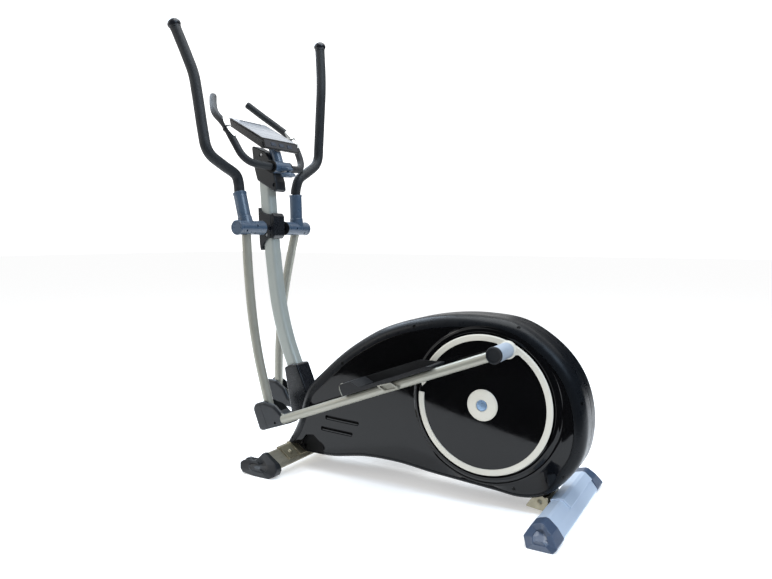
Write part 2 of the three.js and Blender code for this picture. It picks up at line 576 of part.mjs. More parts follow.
function buildDrive() {
  piece('crank_axle', drum(AXLE_RADIUS, CRANK.x, CRANK.z, -94, 94), 'steel');
  const hole = drum(AXLE_RADIUS + GAP, CRANK.x, CRANK.z, -200, 200);
  const pulley = cut(join(drum(DRIVE_PULLEY_RADIUS, CRANK.x, CRANK.z, 20, 38, 32),
    drum(26, CRANK.x, CRANK.z, 12, 42)), hole);
  piece('crank_pulley', pulley, 'blackSatin');
  const belt = cut(slab(beltShape(BELT.gap + BELT.thickness), BELT.y0, BELT.y1, 0, 1, 9),
    slab(beltShape(BELT.gap), BELT.y0 - 1, BELT.y1 + 1, 0, 1, 9));
  piece('drive_belt', belt, 'rubber');
  const flywheel = cut(join(drum(FLYWHEEL.radius, FLYWHEEL.x, FLYWHEEL.z, -24, 4, 32),
    drum(FLYWHEEL.pulley, FLYWHEEL.x, FLYWHEEL.z, 0, 38)),
    drum(8 + GAP, FLYWHEEL.x, FLYWHEEL.z, -60, 60, 16));
  piece('flywheel', flywheel, 'steel');
  const arc = new THREE.Shape();
  arc.absarc(FLYWHEEL.x, FLYWHEEL.z, 134, Math.PI * 1.1, Math.PI * 1.42, false);
  arc.absarc(FLYWHEEL.x, FLYWHEEL.z, 124, Math.PI * 1.42, Math.PI * 1.1, true);
  const magnetArm = slab([[462, 150], [478, 150], [486, 178], [462, 186]], -16, 9);
  const magnet = cut(join(slab(arc, -28, 8), magnetArm, drum(9, MAGNET_HINGE.x, MAGNET_HINGE.z, -17, 10, 16)),
    drum(4 + GAP, MAGNET_HINGE.x, MAGNET_HINGE.z, -40, 40, 12), drum(123.5, FLYWHEEL.x, FLYWHEEL.z, -60, 60, 32));
  piece('magnet_bracket', magnet, 'steel');
  piece('brake_motor', join(box(330, 386, -20, 20, 132.4, 168), drum(10, 350, 158, -28, -18)), 'blackSatin');
  const socket = join(drum(INLET.radius, INLET.x, INLET.z, 68, PANEL_Y + 2, 12),
    drum(INLET.radius + 4, INLET.x, INLET.z, PANEL_Y + GAP, PANEL_Y + 3, 16));
  piece('power_inlet', cut(socket, drum(4, INLET.x, INLET.z, 74, 100, 10)), 'blackSatin');
}

// ---------------------------------------------------------------- cranks and discs
function buildCrank(name, side) {
  const group = turnedGroup(CRANK.x, CRANK.z, CRANK_PHASE + (side > 0 ? Math.PI : 0));
  const y = (value) => side * value;
  const hole = drum(AXLE_RADIUS + GAP, 0, 0, y(80), y(120));
  const arm = slab([[-22, -20], [CRANK_THROW, -16], [CRANK_THROW, 16], [-22, 20]], y(86.5), y(91));
  const boss = drum(21, CRANK_THROW, 0, y(86.5), y(104));
  const hub = drum(27, 0, 0, y(86.5), y(94));
  piece(`crank_arm_${name}`, cut(join(arm, boss, hub), hole), 'cream', group);
  const disc = cut(drum(DISC.radius, 0, 0, y(DISC.back), y(DISC.face), 44),
    drum(28, 0, 0, y(80), y(120)), drum(21.6, CRANK_THROW, 0, y(80), y(120)));
  piece(`crank_disc_${name}`, disc, 'blackGloss', group);
  const cap = turned([[0, 96], [50, 96], [50, 99], [44, 103], [0, 105]], 0, 0, 20);
  const flipped = side > 0 ? cap : cap.mirror([0, 1, 0]);
  piece(`crank_hub_cover_${name}`, flipped, 'cream', group);
}

// ---------------------------------------------------------------- swing arms
function buildArm(name, side) {
  const { armAngle } = LINKAGES[name];
  const group = turnedGroup(PIVOT.x, PIVOT.z, armAngle);
  const y = (value) => side * value;
  const axleHole = drum(AXLE_RADIUS + GAP, 0, 0, y(40), y(220));
  const barrel = join(drum(BARREL.radius, 0, 0, y(BARREL.inner + 4), y(BARREL.outer)),
    drum(BARREL.radius + 1, 0, 0, y(BARREL.inner), y(BARREL.inner + 4)));
  const socketLine = curve3([[-4, y(ARM_Y - 1), 8], [-12, y(145), 70], [-21, y(141), 133.5]]);
  const handleLine = curve3([
    [-11, y(145.5), 62], [-21, y(141), 134], [-20, y(141), 168], [-19, y(150), 196], [-23, y(205), 228],
    [-27, y(260), 262], [-29, y(275), 290], [-33, y(276), 340], [-42, y(271), 480], [-48, y(270), 553],
    [-62, y(276), 620], [-93, y(286), 738],
  ]);
  const socket = pipe(socketLine, 24, 0, 2, 14);
  const socketBore = rod(HANDLE_TUBE.radius + 1.2, [-9.3, y(146.3), 50], [-22.5, y(140.3), 145], 12);
  piece(`arm_pivot_${name}`, cut(join(barrel, socket), axleHole, socketBore), 'blackSatin', group);
  piece(`handle_tube_${name}`, pipe(handleLine, HANDLE_TUBE.radius, 0, HANDLE_STEPS, 6), 'darkSteel', group);
  const gripPoints = [];
  for (let i = 0; i <= 24; i += 1) gripPoints.push(handleLine.getPointAt(0.105 + 0.895 * i / 24));
  const last = gripPoints[24].clone();
  gripPoints.push(last.clone().add(last.clone().sub(gripPoints[23]).normalize().multiplyScalar(12)));
  const gripLine = new THREE.CatmullRomCurve3(gripPoints, false, 'centripetal');
  const tip = [last.toArray(), last.clone().lerp(gripPoints[25], 0.1).toArray()];
  const grip = cut(pipe(gripLine, GRIP_RADIUS, 0, HANDLE_STEPS, 12),
    pipe(handleLine, HANDLE_TUBE.radius + GAP, 0, HANDLE_STEPS, 6), rod(HANDLE_TUBE.radius + 1, ...tip, 6));
  piece(`handle_grip_${name}`, grip, 'foam', group);
  const lowerLine = curve3([
    [-6, y(ARM_Y), -10], [-20, y(ARM_Y), -150], [-29, y(ARM_Y), -330], [-25, y(ARM_Y), -470],
    [-12, y(ARM_Y), -590], [0, y(ARM_Y), -ARM_LENGTH],
  ]);
  const tube = pipe(lowerLine, ARM_TUBE.radius, ARM_TUBE.wall, 8, 10);
  const hub = drum(20, 0, -ARM_LENGTH, y(134), y(165));
  const hubHole = drum(9 + GAP, 0, -ARM_LENGTH, y(120), y(180), 20);
  const saddle = drum(BARREL.radius + GAP, 0, 0, y(100), y(200));
  const insideTube = box(-40, 40, y(120), y(134), -ARM_LENGTH - 30, -ARM_LENGTH + 16);
  const outsideTube = box(-40, 40, y(165), y(180), -ARM_LENGTH - 30, -ARM_LENGTH + 16);
  const lower = cut(join(cut(tube, insideTube, outsideTube), hub), hubHole, saddle);
  piece(`lower_arm_${name}`, lower, 'silver', group);
}

// ---------------------------------------------------------------- foot rails
// Rail frame: origin on the crank pin, +x rearward, lower joint at (-RAIL_LENGTH, 0).
const railAxisZ = (x) => RAIL_DROP * x / RAIL_LENGTH;
const RAIL_FRONT = -850;

function railTube(side, radius, wall, from = RAIL_FRONT, to = -8) {
  return pipe(curve3([
    [to, side * RAIL_Y, railAxisZ(to)], [(from + to) / 2, side * RAIL_Y, railAxisZ((from + to) / 2)],
    [from, side * RAIL_Y, railAxisZ(from)],
  ]), radius, wall, 1, 12);
}

function buildRail(name, side) {
  const { pin, railAngle } = LINKAGES[name];
  const group = turnedGroup(pin.x, pin.z, railAngle);
  const y = (value) => side * value;
  const sleeve = drum(SLEEVE.radius, 0, 0, y(SLEEVE.inner), y(SLEEVE.outer), 20);
  const sleeveBore = drum(SLEEVE.bore, 0, 0, y(SLEEVE.inner - 1), y(SLEEVE.outer + 1), 20);
  const nose = railTube(side, RAIL_TUBE.radius, 0, RAIL_FRONT, RAIL_FRONT + 4);
  const lug = slab([
    [-930, 20], [-915, 20], [-846, -10], [-790, -12], [-790, -34], [-846, -38], [-915, -20], [-930, -20],
    [-944, -14], [-950, 0], [-944, 14],
  ], y(167), y(177));
  const jointPin = join(drum(9, -RAIL_LENGTH, 0, y(132), y(170), 20), drum(15, -RAIL_LENGTH, 0, y(127), y(132), 20));
  const bracketLow = railAxisZ(-383) - 4;
  const bracket = cut(box(-420, -346, y(200), y(213), bracketLow, bracketLow + 18),
    box(-415, -351, y(206), y(216), bracketLow + 4, bracketLow + 14));
  const rail = cut(join(railTube(side, RAIL_TUBE.radius, RAIL_TUBE.wall), nose, lug, jointPin, sleeve, bracket),
    sleeveBore, railTube(side, RAIL_TUBE.radius - RAIL_TUBE.wall, 0, -60, -8));
  piece(`rail_${name}`, rail, 'silver', group);
  const pinProfile = [
    [0, 108], [10, 108], [10, 112], [20, 112], [20, 130], [10, 130], [10, 186], [20, 186], [20, 202], [0, 202],
  ];
  const crankPin = turned(pinProfile, 0, 0);
  piece(`crank_pin_${name}`, side > 0 ? crankPin : crankPin.mirror([0, 1, 0]), 'steel', group);
  const capProfile = [[0, 208.4], [25.5, 208.4], [25.5, 213], [23, 215], [0, 215]];
  const cap = turned(capProfile, 0, 0, 20);
  piece(`sleeve_cap_${name}`, side > 0 ? cap : cap.mirror([0, 1, 0]), 'blackSatin', group);
  buildPedal(name, side, group);
  buildJointCover(name, side, group);
}

function buildPedal(name, side, group) {
  const tilt = new THREE.Group();
  tilt.rotation.y = -Math.atan2(RAIL_DROP, RAIL_LENGTH);
  group.add(tilt);
  const y = (value) => side * value;
  const base = RAIL_TUBE.radius + GAP;
  const outer = slab([
    [-556, base], [-212, base], [-208, base + 9], [-226, base + 14], [-290, base + 40], [-540, base + 40],
    [-556, base + 46],
  ], y(110), y(213), 4, 1);
  const well = slab([[-486, base + 7], [-228, base + 7], [-228, base + 60], [-486, base + 60]], y(117), y(220));
  const heel = box(-330, -180, y(117), y(220), base + 12, base + 60);
  const slope = slab([[-520, base + 60], [-484, base + 6], [-440, base + 60]], y(117), y(220));
  piece(`pedal_${name}`, cut(outer, well, heel, slope), 'rubber', tilt);
}

const COVER = [[-50, -46], [104, -46], [104, -12], [72, -8], [52, 30], [6, 56], [-40, 56], [-54, 40]];

function buildJointCover(name, side, group) {
  const y = (value) => side * value;
  const place = (points) => points.map(([u, v]) => [u - RAIL_LENGTH, v]);
  const body = slab(place(COVER), y(119), y(181), 6, 1);
  const inside = slab(place([[-45, -41], [100, -41], [100, -14], [69, -11], [48, 26], [5, 51], [-38, 51], [-49, 38]]),
    y(123), y(177.5));
  const throat = slab(place([[-28, -26], [26, -26], [70, 10], [90, 90], [-60, 90], [-60, 20]]), y(130.5), y(169));
  const railSpace = join(railTube(side, RAIL_TUBE.radius + 0.6, 0, RAIL_FRONT - 0.6, -700),
    slab(place([[50, -42], [150, -42], [150, 2], [84, 2], [50, 22]]), y(160), y(178)));
  piece(`joint_cover_${name}`, cut(body, inside, throat, railSpace), 'blackSatin', group);
}

// ---------------------------------------------------------------- assembly
buildBase();
buildMast();
buildHandlebar();
buildConsole();
buildDrive();
for (const [name, side] of Object.entries(SIDES)) {
  buildCrank(name, side);
  buildArm(name, side);
  buildRail(name, side);
}
trainer.updateMatrixWorld(true);
const bounds = new THREE.Box3().setFromObject(trainer, true);
trainer.position.x = -(bounds.min.x + bounds.max.x) / 2;
trainer.updateMatrixWorld(true);

export default trainer;
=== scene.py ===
"""Elliptical trainer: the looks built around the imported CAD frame, in metres."""
import json
import math

import bmesh
import bpy
import numpy as np
from mathutils import Matrix, Vector


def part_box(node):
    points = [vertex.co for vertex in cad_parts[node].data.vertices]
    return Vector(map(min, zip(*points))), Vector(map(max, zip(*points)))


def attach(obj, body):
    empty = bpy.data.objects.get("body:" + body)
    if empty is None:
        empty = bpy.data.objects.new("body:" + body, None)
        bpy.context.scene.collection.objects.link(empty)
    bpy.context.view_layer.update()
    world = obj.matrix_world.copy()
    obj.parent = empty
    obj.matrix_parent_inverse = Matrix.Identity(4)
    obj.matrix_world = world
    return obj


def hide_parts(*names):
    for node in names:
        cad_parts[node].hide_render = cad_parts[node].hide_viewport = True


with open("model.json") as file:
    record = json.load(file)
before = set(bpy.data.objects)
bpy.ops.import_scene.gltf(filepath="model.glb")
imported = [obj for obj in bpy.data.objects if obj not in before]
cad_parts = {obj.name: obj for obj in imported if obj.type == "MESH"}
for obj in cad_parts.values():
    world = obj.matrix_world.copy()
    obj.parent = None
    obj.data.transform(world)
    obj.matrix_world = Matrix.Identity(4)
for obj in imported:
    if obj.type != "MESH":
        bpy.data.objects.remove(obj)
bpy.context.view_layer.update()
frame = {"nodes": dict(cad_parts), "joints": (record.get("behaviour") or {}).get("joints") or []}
NODES = frame["nodes"]
JOINTS = {j["name"]: j for j in frame["joints"]}
MM = 0.001
SIDES = {"left": -1, "right": 1}
PIVOT = Vector(JOINTS["left_arm_swing"]["pos_m"])
CRANK_AT = Vector(JOINTS["crank_spin"]["pos_m"])


# ------ frames
def centre(node):
    low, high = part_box(node)
    return (low + high) / 2


def place(at, angle=0.0):
    """Matrix from millimetres, in axes turned up by angle in the XZ plane, to row metres."""
    return (Matrix.Translation((at[0], 0, at[2])) @ Matrix.Rotation(-angle, 4, "Y")
            @ Matrix.Scale(MM, 4))


BASE = place((PIVOT.x, 0, 0))
ARM, RAIL, CRANK = {}, {}, {}
for side_name in SIDES:
    lower = Vector(JOINTS[side_name + "_rail_tilt"]["pos_m"])
    pin = centre("crank_pin_" + side_name)
    ARM[side_name] = place(PIVOT, math.atan2(lower.x - PIVOT.x, PIVOT.z - lower.z))
    RAIL[side_name] = place(pin, math.atan2(pin.z - lower.z, pin.x - lower.x))
    CRANK[side_name] = place(CRANK_AT, math.atan2(pin.z - CRANK_AT.z, pin.x - CRANK_AT.x))
ARM_LENGTH, RAIL_LENGTH, CRANK_THROW = 690, 930, 197.4
RAIL_DROP = 27
SHARP_DEGREES = 32


# ------ curves
def spline(points, count, closed=False):
    """Centripetal Catmull-Rom through the points, resampled to count even steps."""
    p = np.array(points, float)
    if closed:
        ext = np.vstack([p[-1:], p, p[:2]])
    else:
        ext = np.vstack([2 * p[0] - p[1], p, 2 * p[-1] - p[-2]])
    out = []
    for k in range(1, len(ext) - 2):
        q0, q1, q2, q3 = ext[k - 1:k + 3]
        d0, d1, d2 = (max(np.linalg.norm(b - a), 1e-6) ** 0.5
                      for a, b in ((q0, q1), (q1, q2), (q2, q3)))
        t1 = ((q1 - q0) / d0 - (q2 - q0) / (d0 + d1) + (q2 - q1) / d1) * d1
        t2 = ((q2 - q1) / d1 - (q3 - q1) / (d1 + d2) + (q3 - q2) / d2) * d1
        t = np.linspace(0, 1, 24, endpoint=False)[:, None]
        out.append((2 * t ** 3 - 3 * t ** 2 + 1) * q1 + (t ** 3 - 2 * t ** 2 + t) * t1
                   + (3 * t ** 2 - 2 * t ** 3) * q2 + (t ** 3 - t ** 2) * t2)
    dense = np.vstack(out + [ext[-2:-1]])
    return resample(dense, count, closed)


def resample(dense, count, closed=False):
    dense = np.array(dense, float)
    run = np.concatenate([[0], np.cumsum(np.linalg.norm(np.diff(dense, axis=0), axis=1))])
    at = np.linspace(0, run[-1], count, endpoint=not closed)
    return np.stack([np.interp(at, run, dense[:, k]) for k in range(dense.shape[1])], 1)


def part_of(line, start, end, count):
    """A stretch of a polyline between two fractions of its length."""
    full = resample(line, 400)
    lo, hi = int(start * 399), int(end * 399)
    return resample(full[lo:hi + 1], count)


def rounded(outline, radius, steps=5):
    """Polygon in the XZ plane with each corner replaced by an arc."""
    pts = [np.array(p[:2], float) for p in outline]
    radii = [p[2] if len(p) > 2 else radius for p in outline]
    out = []
    for k, b in enumerate(pts):
        a, c = pts[k - 1], pts[(k + 1) % len(pts)]
        u, v = (a - b) / np.linalg.norm(a - b), (c - b) / np.linalg.norm(c - b)
        turn = math.acos(np.clip(u @ v, -1, 1))
        if radii[k] < 0.05 or turn > math.pi - 0.02:
            out.append(tuple(b))
            continue
        reach = radii[k] / math.tan(turn / 2)
        reach = min(reach, 0.49 * np.linalg.norm(a - b), 0.49 * np.linalg.norm(c - b))
        r = reach * math.tan(turn / 2)
        mid = (u + v) / np.linalg.norm(u + v)
        hub = b + mid * r / math.sin(turn / 2)
        s0, s1 = b + u * reach - hub, b + v * reach - hub
        a0 = math.atan2(s0[1], s0[0])
        sweep = (math.atan2(s1[1], s1[0]) - a0 + math.pi) % (2 * math.pi) - math.pi
        for i in range(steps + 1):
            ang = a0 + sweep * i / steps
            out.append((hub[0] + r * math.cos(ang), hub[1] + r * math.sin(ang)))
    return out


# ------ shapes: (verts, faces) in mm
def grid(rows, ring=False):
    """Skin over rows of points, each row a loop. Its two ends are closed, or joined in a ring."""
    count = len(rows[0])
    verts = [tuple(p) for row in rows for p in row]
    faces = []
    for r in range(len(rows) if ring else len(rows) - 1):
        here, there = r * count, (r + 1) % len(rows) * count
        for i in range(count):
            j = (i + 1) % count
            faces.append((here + i, here + j, there + j, there + i))
    if not ring:
        faces.append(tuple(range(count - 1, -1, -1)))
        faces.append(tuple((len(rows) - 1) * count + i for i in range(count)))
    return verts, faces


def frames_along(points):
    """Tangent and two turning-free normals at each point of a line."""
    p = np.array(points, float)
    tangent = np.gradient(p, axis=0)
    tangent /= np.linalg.norm(tangent, axis=1)[:, None]
    seed = np.array([0, 1.0, 0]) if abs(tangent[0][1]) < 0.9 else np.array([1.0, 0, 0])
    u = seed - tangent[0] * (seed @ tangent[0])
    u /= np.linalg.norm(u)
    out = []
    for t in tangent:
        u = u - t * (u @ t)
        u /= np.linalg.norm(u)
        out.append((t, u.copy(), np.cross(t, u)))
    return p, out


def tube(points, radius, sides=28, ends=(0, 0), section=None):
    """Round bar along a line. radius may be a function of the fraction along it, ends are
    the radii of the rounding at its two ends, section a loop of points in place of the circle."""
    p, turns = frames_along(points)
    size = radius if callable(radius) else (lambda t: radius)
    loop = section or [(math.cos(2 * math.pi * i / sides), math.sin(2 * math.pi * i / sides))
                       for i in range(sides)]
    last = len(p) - 1
    stations = [(p[i], turns[i][1], turns[i][2], size(i / last)) for i in range(last + 1)]
    rows = list(stations)
    for end, roll in ((0, ends[0]), (-1, ends[1])):
        if not roll:
            continue
        point, u, v, r = stations[end]
        out = turns[end][0] * (1 if end else -1)
        cap = [(point - out * roll * (1 - math.sin(a)), u, v,
                max(r - roll * (1 - math.cos(a)), 0.02)) for a in np.linspace(0, math.pi / 2, 8)]
        rows = [s for s in rows if np.linalg.norm(point - s[0]) > roll * 1.01]
        rows = rows + cap if end else cap[::-1] + rows
    return grid([[at + u * (a * r) + v * (b * r) for a, b in loop] for at, u, v, r in rows])


def drum(radius, start, end):
    """Profile of a plain cylinder, for lathe or spin."""
    return [(0, start), (radius, start), (radius, end), (0, end)]


def lathe(profile, cx=0.0, cz=0.0, side=1, segments=64, ring=False):
    """Turned shape about the Y axis through (cx, cz): profile of (radius, y)."""
    rows = [[(cx + max(r, 0.01) * math.cos(a), side * y, cz + max(r, 0.01) * math.sin(a))
             for a in np.linspace(0, 2 * math.pi, segments, endpoint=False)] for r, y in profile]
    return grid(rows, ring)


def spin(profile, origin, axis, segments=48):
    """Turned shape about any axis: profile of (radius, distance along it)."""
    axis = Vector(axis).normalized()
    u = axis.orthogonal().normalized()
    v = axis.cross(u)
    base = Vector(origin)
    rows = []
    for r, d in profile:
        r = max(r, 0.01)
        rows.append([tuple(base + axis * d + u * (r * math.cos(a)) + v * (r * math.sin(a)))
                     for a in np.linspace(0, 2 * math.pi, segments, endpoint=False)])
    return grid(rows)


def slab(outline, y0, y1, roll=0.0, steps=3):
    """Outline in the XZ plane carried from y0 to y1, its two rims rounded by roll."""
    pts = np.array([p[:2] for p in outline], float)
    low, high = min(y0, y1), max(y0, y1)
    rows = []
    nxt, prv = np.roll(pts, -1, 0), np.roll(pts, 1, 0)
    d1 = (pts - prv) / np.maximum(np.linalg.norm(pts - prv, axis=1), 1e-9)[:, None]
    d2 = (nxt - pts) / np.maximum(np.linalg.norm(nxt - pts, axis=1), 1e-9)[:, None]
    area = np.sum(pts[:, 0] * nxt[:, 1] - nxt[:, 0] * pts[:, 1])
    turn = 1 if area > 0 else -1
    n1 = np.stack([-d1[:, 1], d1[:, 0]], 1) * turn
    n2 = np.stack([-d2[:, 1], d2[:, 0]], 1) * turn
    inward = n1 + n2
    inward /= np.maximum(np.sum(inward * n1, 1), 0.35)[:, None]

    def row(inset, y):
        q = pts + inward * inset
        return [(a, y, b) for a, b in q]
    if roll:
        for i in range(steps + 1):
            a = math.pi / 2 * i / steps
            rows.append(row(roll * (1 - math.sin(a)), low + roll * (1 - math.cos(a))))
        for i in range(steps + 1):
            a = math.pi / 2 * (1 - i / steps)
            rows.append(row(roll * (1 - math.sin(a)), high - roll * (1 - math.cos(a))))
    else:
        rows = [row(0, low), row(0, high)]
    return grid(rows)


def block(x0, x1, y0, y1, z0, z1):
    return slab([(x0, z0), (x1, z0), (x1, z1), (x0, z1)], y0, y1)


# ------ objects
def raw(name, shapes, matrix):
    """Mesh object made of closed shapes, with the points at each pole merged."""
    mesh = bpy.data.meshes.new(name)
    bm = bmesh.new()
    for verts, faces in shapes:
        made = [bm.verts.new(matrix @ Vector(tuple(map(float, v)))) for v in verts]
        for f in faces:
            bm.faces.new([made[i] for i in f])
        bmesh.ops.remove_doubles(bm, verts=made, dist=0.03 * MM)
    bmesh.ops.recalc_face_normals(bm, faces=bm.faces)
    bm.to_mesh(mesh)
    bm.free()
    obj = bpy.data.objects.new(name, mesh)
    bpy.context.scene.collection.objects.link(obj)
    return obj


def bake(obj):
    """Replaces the object's mesh by its modifiers' result."""
    graph = bpy.context.evaluated_depsgraph_get()
    mesh = bpy.data.meshes.new_from_object(obj.evaluated_get(graph))
    obj.modifiers.clear()
    old = obj.data
    obj.data = mesh
    bpy.data.meshes.remove(old)


def carve(obj, shapes, matrix, operation="DIFFERENCE"):
    """Cuts the shapes out of the object, or joins them to it."""
    if shapes:
        bm = bmesh.new()
        bm.from_mesh(obj.data)
        bmesh.ops.triangulate(bm, faces=bm.faces)
        bm.to_mesh(obj.data)
        bm.free()
    for shape in shapes:
        tool = raw("tool", [shape], matrix)
        mod = obj.modifiers.new("carve", "BOOLEAN")
        mod.operation = operation
        mod.solver = "MANIFOLD"
        mod.object = tool
        bake(obj)
        bpy.data.objects.remove(tool)


def piece(name, shapes, matrix, material, body, replaces=(), cuts=(), adds=()):
    """One visible piece of the object, riding on a CAD body."""
    obj = raw(name, shapes, matrix)
    carve(obj, adds, matrix, "UNION")
    carve(obj, cuts, matrix)
    mesh = obj.data
    mesh.polygons.foreach_set("use_smooth", [True] * len(mesh.polygons))
    mesh.set_sharp_from_angle(angle=math.radians(SHARP_DEGREES))
    mod = obj.modifiers.new("flat_faces", "WEIGHTED_NORMAL")
    mod.keep_sharp = True
    bake(obj)
    mesh = obj.data
    mesh.materials.clear()
    mesh.materials.append(material)
    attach(obj, body)
    if replaces:
        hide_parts(*replaces)
    return obj


# ------ materials
def srgb(*levels):
    return tuple(((v / 255 + 0.055) / 1.055) ** 2.4 for v in levels) + (1.0,)


def surface(name, colour, rough, metal=0.0, coat=0.0, vary=0.07, scale=9.0, rough_vary=0.05,
            grain=0.0, grain_scale=900.0, peel=0.0, flake=0.0, sheen=0.0, specular=0.5,
            stretch=None):
    """Procedural finish: mottled colour, uneven roughness, grain, slow waviness, flakes."""
    mat = bpy.data.materials.new(name)
    mat.use_nodes = True
    nodes, link = mat.node_tree.nodes, mat.node_tree.links.new
    shader = nodes["Principled BSDF"]
    for socket, value in (("Metallic", metal), ("Coat Weight", coat), ("Coat Roughness", 0.04),
                          ("Specular IOR Level", specular), ("Sheen Weight", sheen)):
        shader.inputs[socket].default_value = value
    where = nodes.new("ShaderNodeTexCoord").outputs["Object"]
    if stretch:
        mapping = nodes.new("ShaderNodeMapping")
        mapping.inputs["Scale"].default_value = stretch
        link(where, mapping.inputs["Vector"])
        where = mapping.outputs["Vector"]

    def noise(size, detail=3.0):
        node = nodes.new("ShaderNodeTexNoise")
        node.inputs["Scale"].default_value = size
        node.inputs["Detail"].default_value = detail
        link(where, node.inputs["Vector"])
        return node.outputs["Fac"]

    def spread(value, low, high, start=0.3, end=0.7):
        node = nodes.new("ShaderNodeMapRange")
        for key, number in (("From Min", start), ("From Max", end), ("To Min", low),
                            ("To Max", high)):
            node.inputs[key].default_value = number
        link(value, node.inputs["Value"])
        return node.outputs["Result"]

    def mix(factor, first, second):
        node = nodes.new("ShaderNodeMix")
        node.data_type = "RGBA"
        link(factor, node.inputs[0])
        for socket, value in ((node.inputs[6], first), (node.inputs[7], second)):
            if isinstance(value, tuple):
                socket.default_value = value
            else:
                link(value, socket)
        return node.outputs[2]

    base = srgb(*colour)
    dark = tuple(v * (1 - vary) for v in base[:3]) + (1.0,)
    light = tuple(min(v * (1 + vary), 1) for v in base[:3]) + (1.0,)
    tint = mix(spread(noise(scale), 0, 1), dark, light)
    if flake:
        sparkle = nodes.new("ShaderNodeTexVoronoi")
        sparkle.inputs["Scale"].default_value = 1400
        link(where, sparkle.inputs["Vector"])
        bright = tuple(min(v * (1 + flake), 1) for v in base[:3]) + (1.0,)
        tint = mix(spread(sparkle.outputs["Distance"], 1, 0, 0.0, 0.35), tint, bright)
    link(tint, shader.inputs["Base Color"])
    low, high = max(rough - rough_vary, 0.02), rough + rough_vary
    link(spread(noise(scale * 5), low, high), shader.inputs["Roughness"])
    normal = None
    for strength, size, depth in ((peel, 38, 0.0006), (grain, grain_scale, 0.0004)):
        if strength:
            bump = nodes.new("ShaderNodeBump")
            bump.inputs["Strength"].default_value = strength
            bump.inputs["Distance"].default_value = depth
            link(noise(size, 2.0), bump.inputs["Height"])
            if normal:
                link(normal, bump.inputs["Normal"])
            normal = bump.outputs["Normal"]
    if normal:
        link(normal, shader.inputs["Normal"])
    return mat


GLOSS = surface("gloss_black", (8, 8, 9), 0.06, vary=0.15, rough_vary=0.02, peel=0.04, specular=0.3)
BAND = surface("satin_shell_black", (15, 17, 20), 0.3, vary=0.08, grain=0.05, grain_scale=1400,
               specular=0.16)
SILVER = surface("silver_paint", (144, 143, 133), 0.36, metal=0.4, vary=0.03, flake=0.25,
                 grain=0.04, grain_scale=1600)
MAST = surface("mast_grey_paint", (146, 151, 147), 0.42, metal=0.25, vary=0.03, flake=0.2,
               grain=0.04, grain_scale=1600)
PLASTIC = surface("moulded_black", (24, 27, 31), 0.4, vary=0.12, grain=0.25, grain_scale=1100,
                  specular=0.4)
SMOOTH = surface("smooth_black", (20, 22, 26), 0.28, vary=0.1, grain=0.05, specular=0.45)
FOAM = surface("grip_foam", (22, 25, 28), 0.6, vary=0.16, scale=30, grain=0.5,
               grain_scale=1500, sheen=0.06, specular=0.3)
RUBBER = surface("pedal_rubber", (22, 23, 25), 0.5, vary=0.12, grain=0.3, grain_scale=1300,
                 specular=0.35)
CAPS = surface("foot_plastic", (26, 28, 31), 0.42, vary=0.1, grain=0.3, grain_scale=1000,
               specular=0.4)
# Near-black matte: real black on the shell screws, clamp end rings and barrel rings; painted shade
# as the vent backs and the foot recess dish.
RECESS_SHADE_AND_TRIM_BLACK = surface("recess_painted_shade_and_trim_black", (6, 6, 7), 0.5, vary=0.3, specular=0.2)
CREAM = surface("cream_plastic", (194, 191, 180), 0.38, vary=0.03, grain=0.05)
SLEEVE_SKIN = surface("speckled_sleeve", (160, 169, 180), 0.45, metal=0.2, vary=0.12,
                      scale=420, grain=0.35, grain_scale=500)
# Silver paint; its blue tint and extra lightness are a painted reflection of cool light.
REAR_SILVER_BLUE_REFLECTION = surface("rear_silver_paint_painted_blue_reflection", (186, 199, 216), 0.34, metal=0.25, vary=0.02,
                      rough_vary=0.02)
# Black foot plastic made lighter and bluer: a painted highlight of cool light from above right on
# the rear caps.
REAR_CAPS_SKY_HIGHLIGHT = surface("rear_foot_plastic_painted_sky_light", (58, 71, 92), 0.34, vary=0.06, grain=0.15,
                    grain_scale=1000, specular=0.7)
# Blue-black plastic with its base colour lifted to a highlight's light blue: a painted highlight on
# the clamp, knob, console neck and arm barrels.
CLAMP_BLUE_HIGHLIGHT = surface("clamp_blue_black_painted_highlight", (56, 71, 88), 0.3, vary=0.08, grain=0.1,
                     specular=0.6)
FRONT_SILVER = surface("front_tube_silver", (168, 163, 147), 0.32, metal=0.6, vary=0.06,
                       flake=0.2, stretch=(60, 4, 60), scale=4)
ZINC = surface("zinc_plate", (152, 145, 124), 0.36, metal=0.7, vary=0.14, scale=60, grain=0.2)
STEEL = surface("brushed_steel", (150, 152, 156), 0.3, metal=0.95, vary=0.06, scale=40,
                stretch=(1, 8, 1))
CHROME = surface("bright_shaft", (180, 180, 196), 0.14, metal=1.0, vary=0.04)
IRON = surface("cast_iron", (60, 62, 64), 0.5, metal=0.8, vary=0.15, scale=80, grain=0.5)
FRAME_BLACK = surface("frame_paint", (24, 24, 26), 0.45, metal=0.2, vary=0.12, grain=0.2)
SCREEN = surface("display_film", (150, 153, 158), 0.16, vary=0.05, scale=14, coat=0.3)
MARKS = surface("display_print", (104, 108, 114), 0.3, vary=0.05)
KEYS = surface("key_blue_grey", (38, 46, 58), 0.3, vary=0.06, grain=0.1)
CHIN = surface("chin_blue_black", (20, 24, 31), 0.16, vary=0.06, coat=0.3)
CAP_BLUE = surface("hub_cap_grey", (124, 150, 178), 0.25, metal=0.5, vary=0.06)
PULSE = surface("pulse_plate", (214, 214, 210), 0.22, metal=0.6, vary=0.04, scale=60)

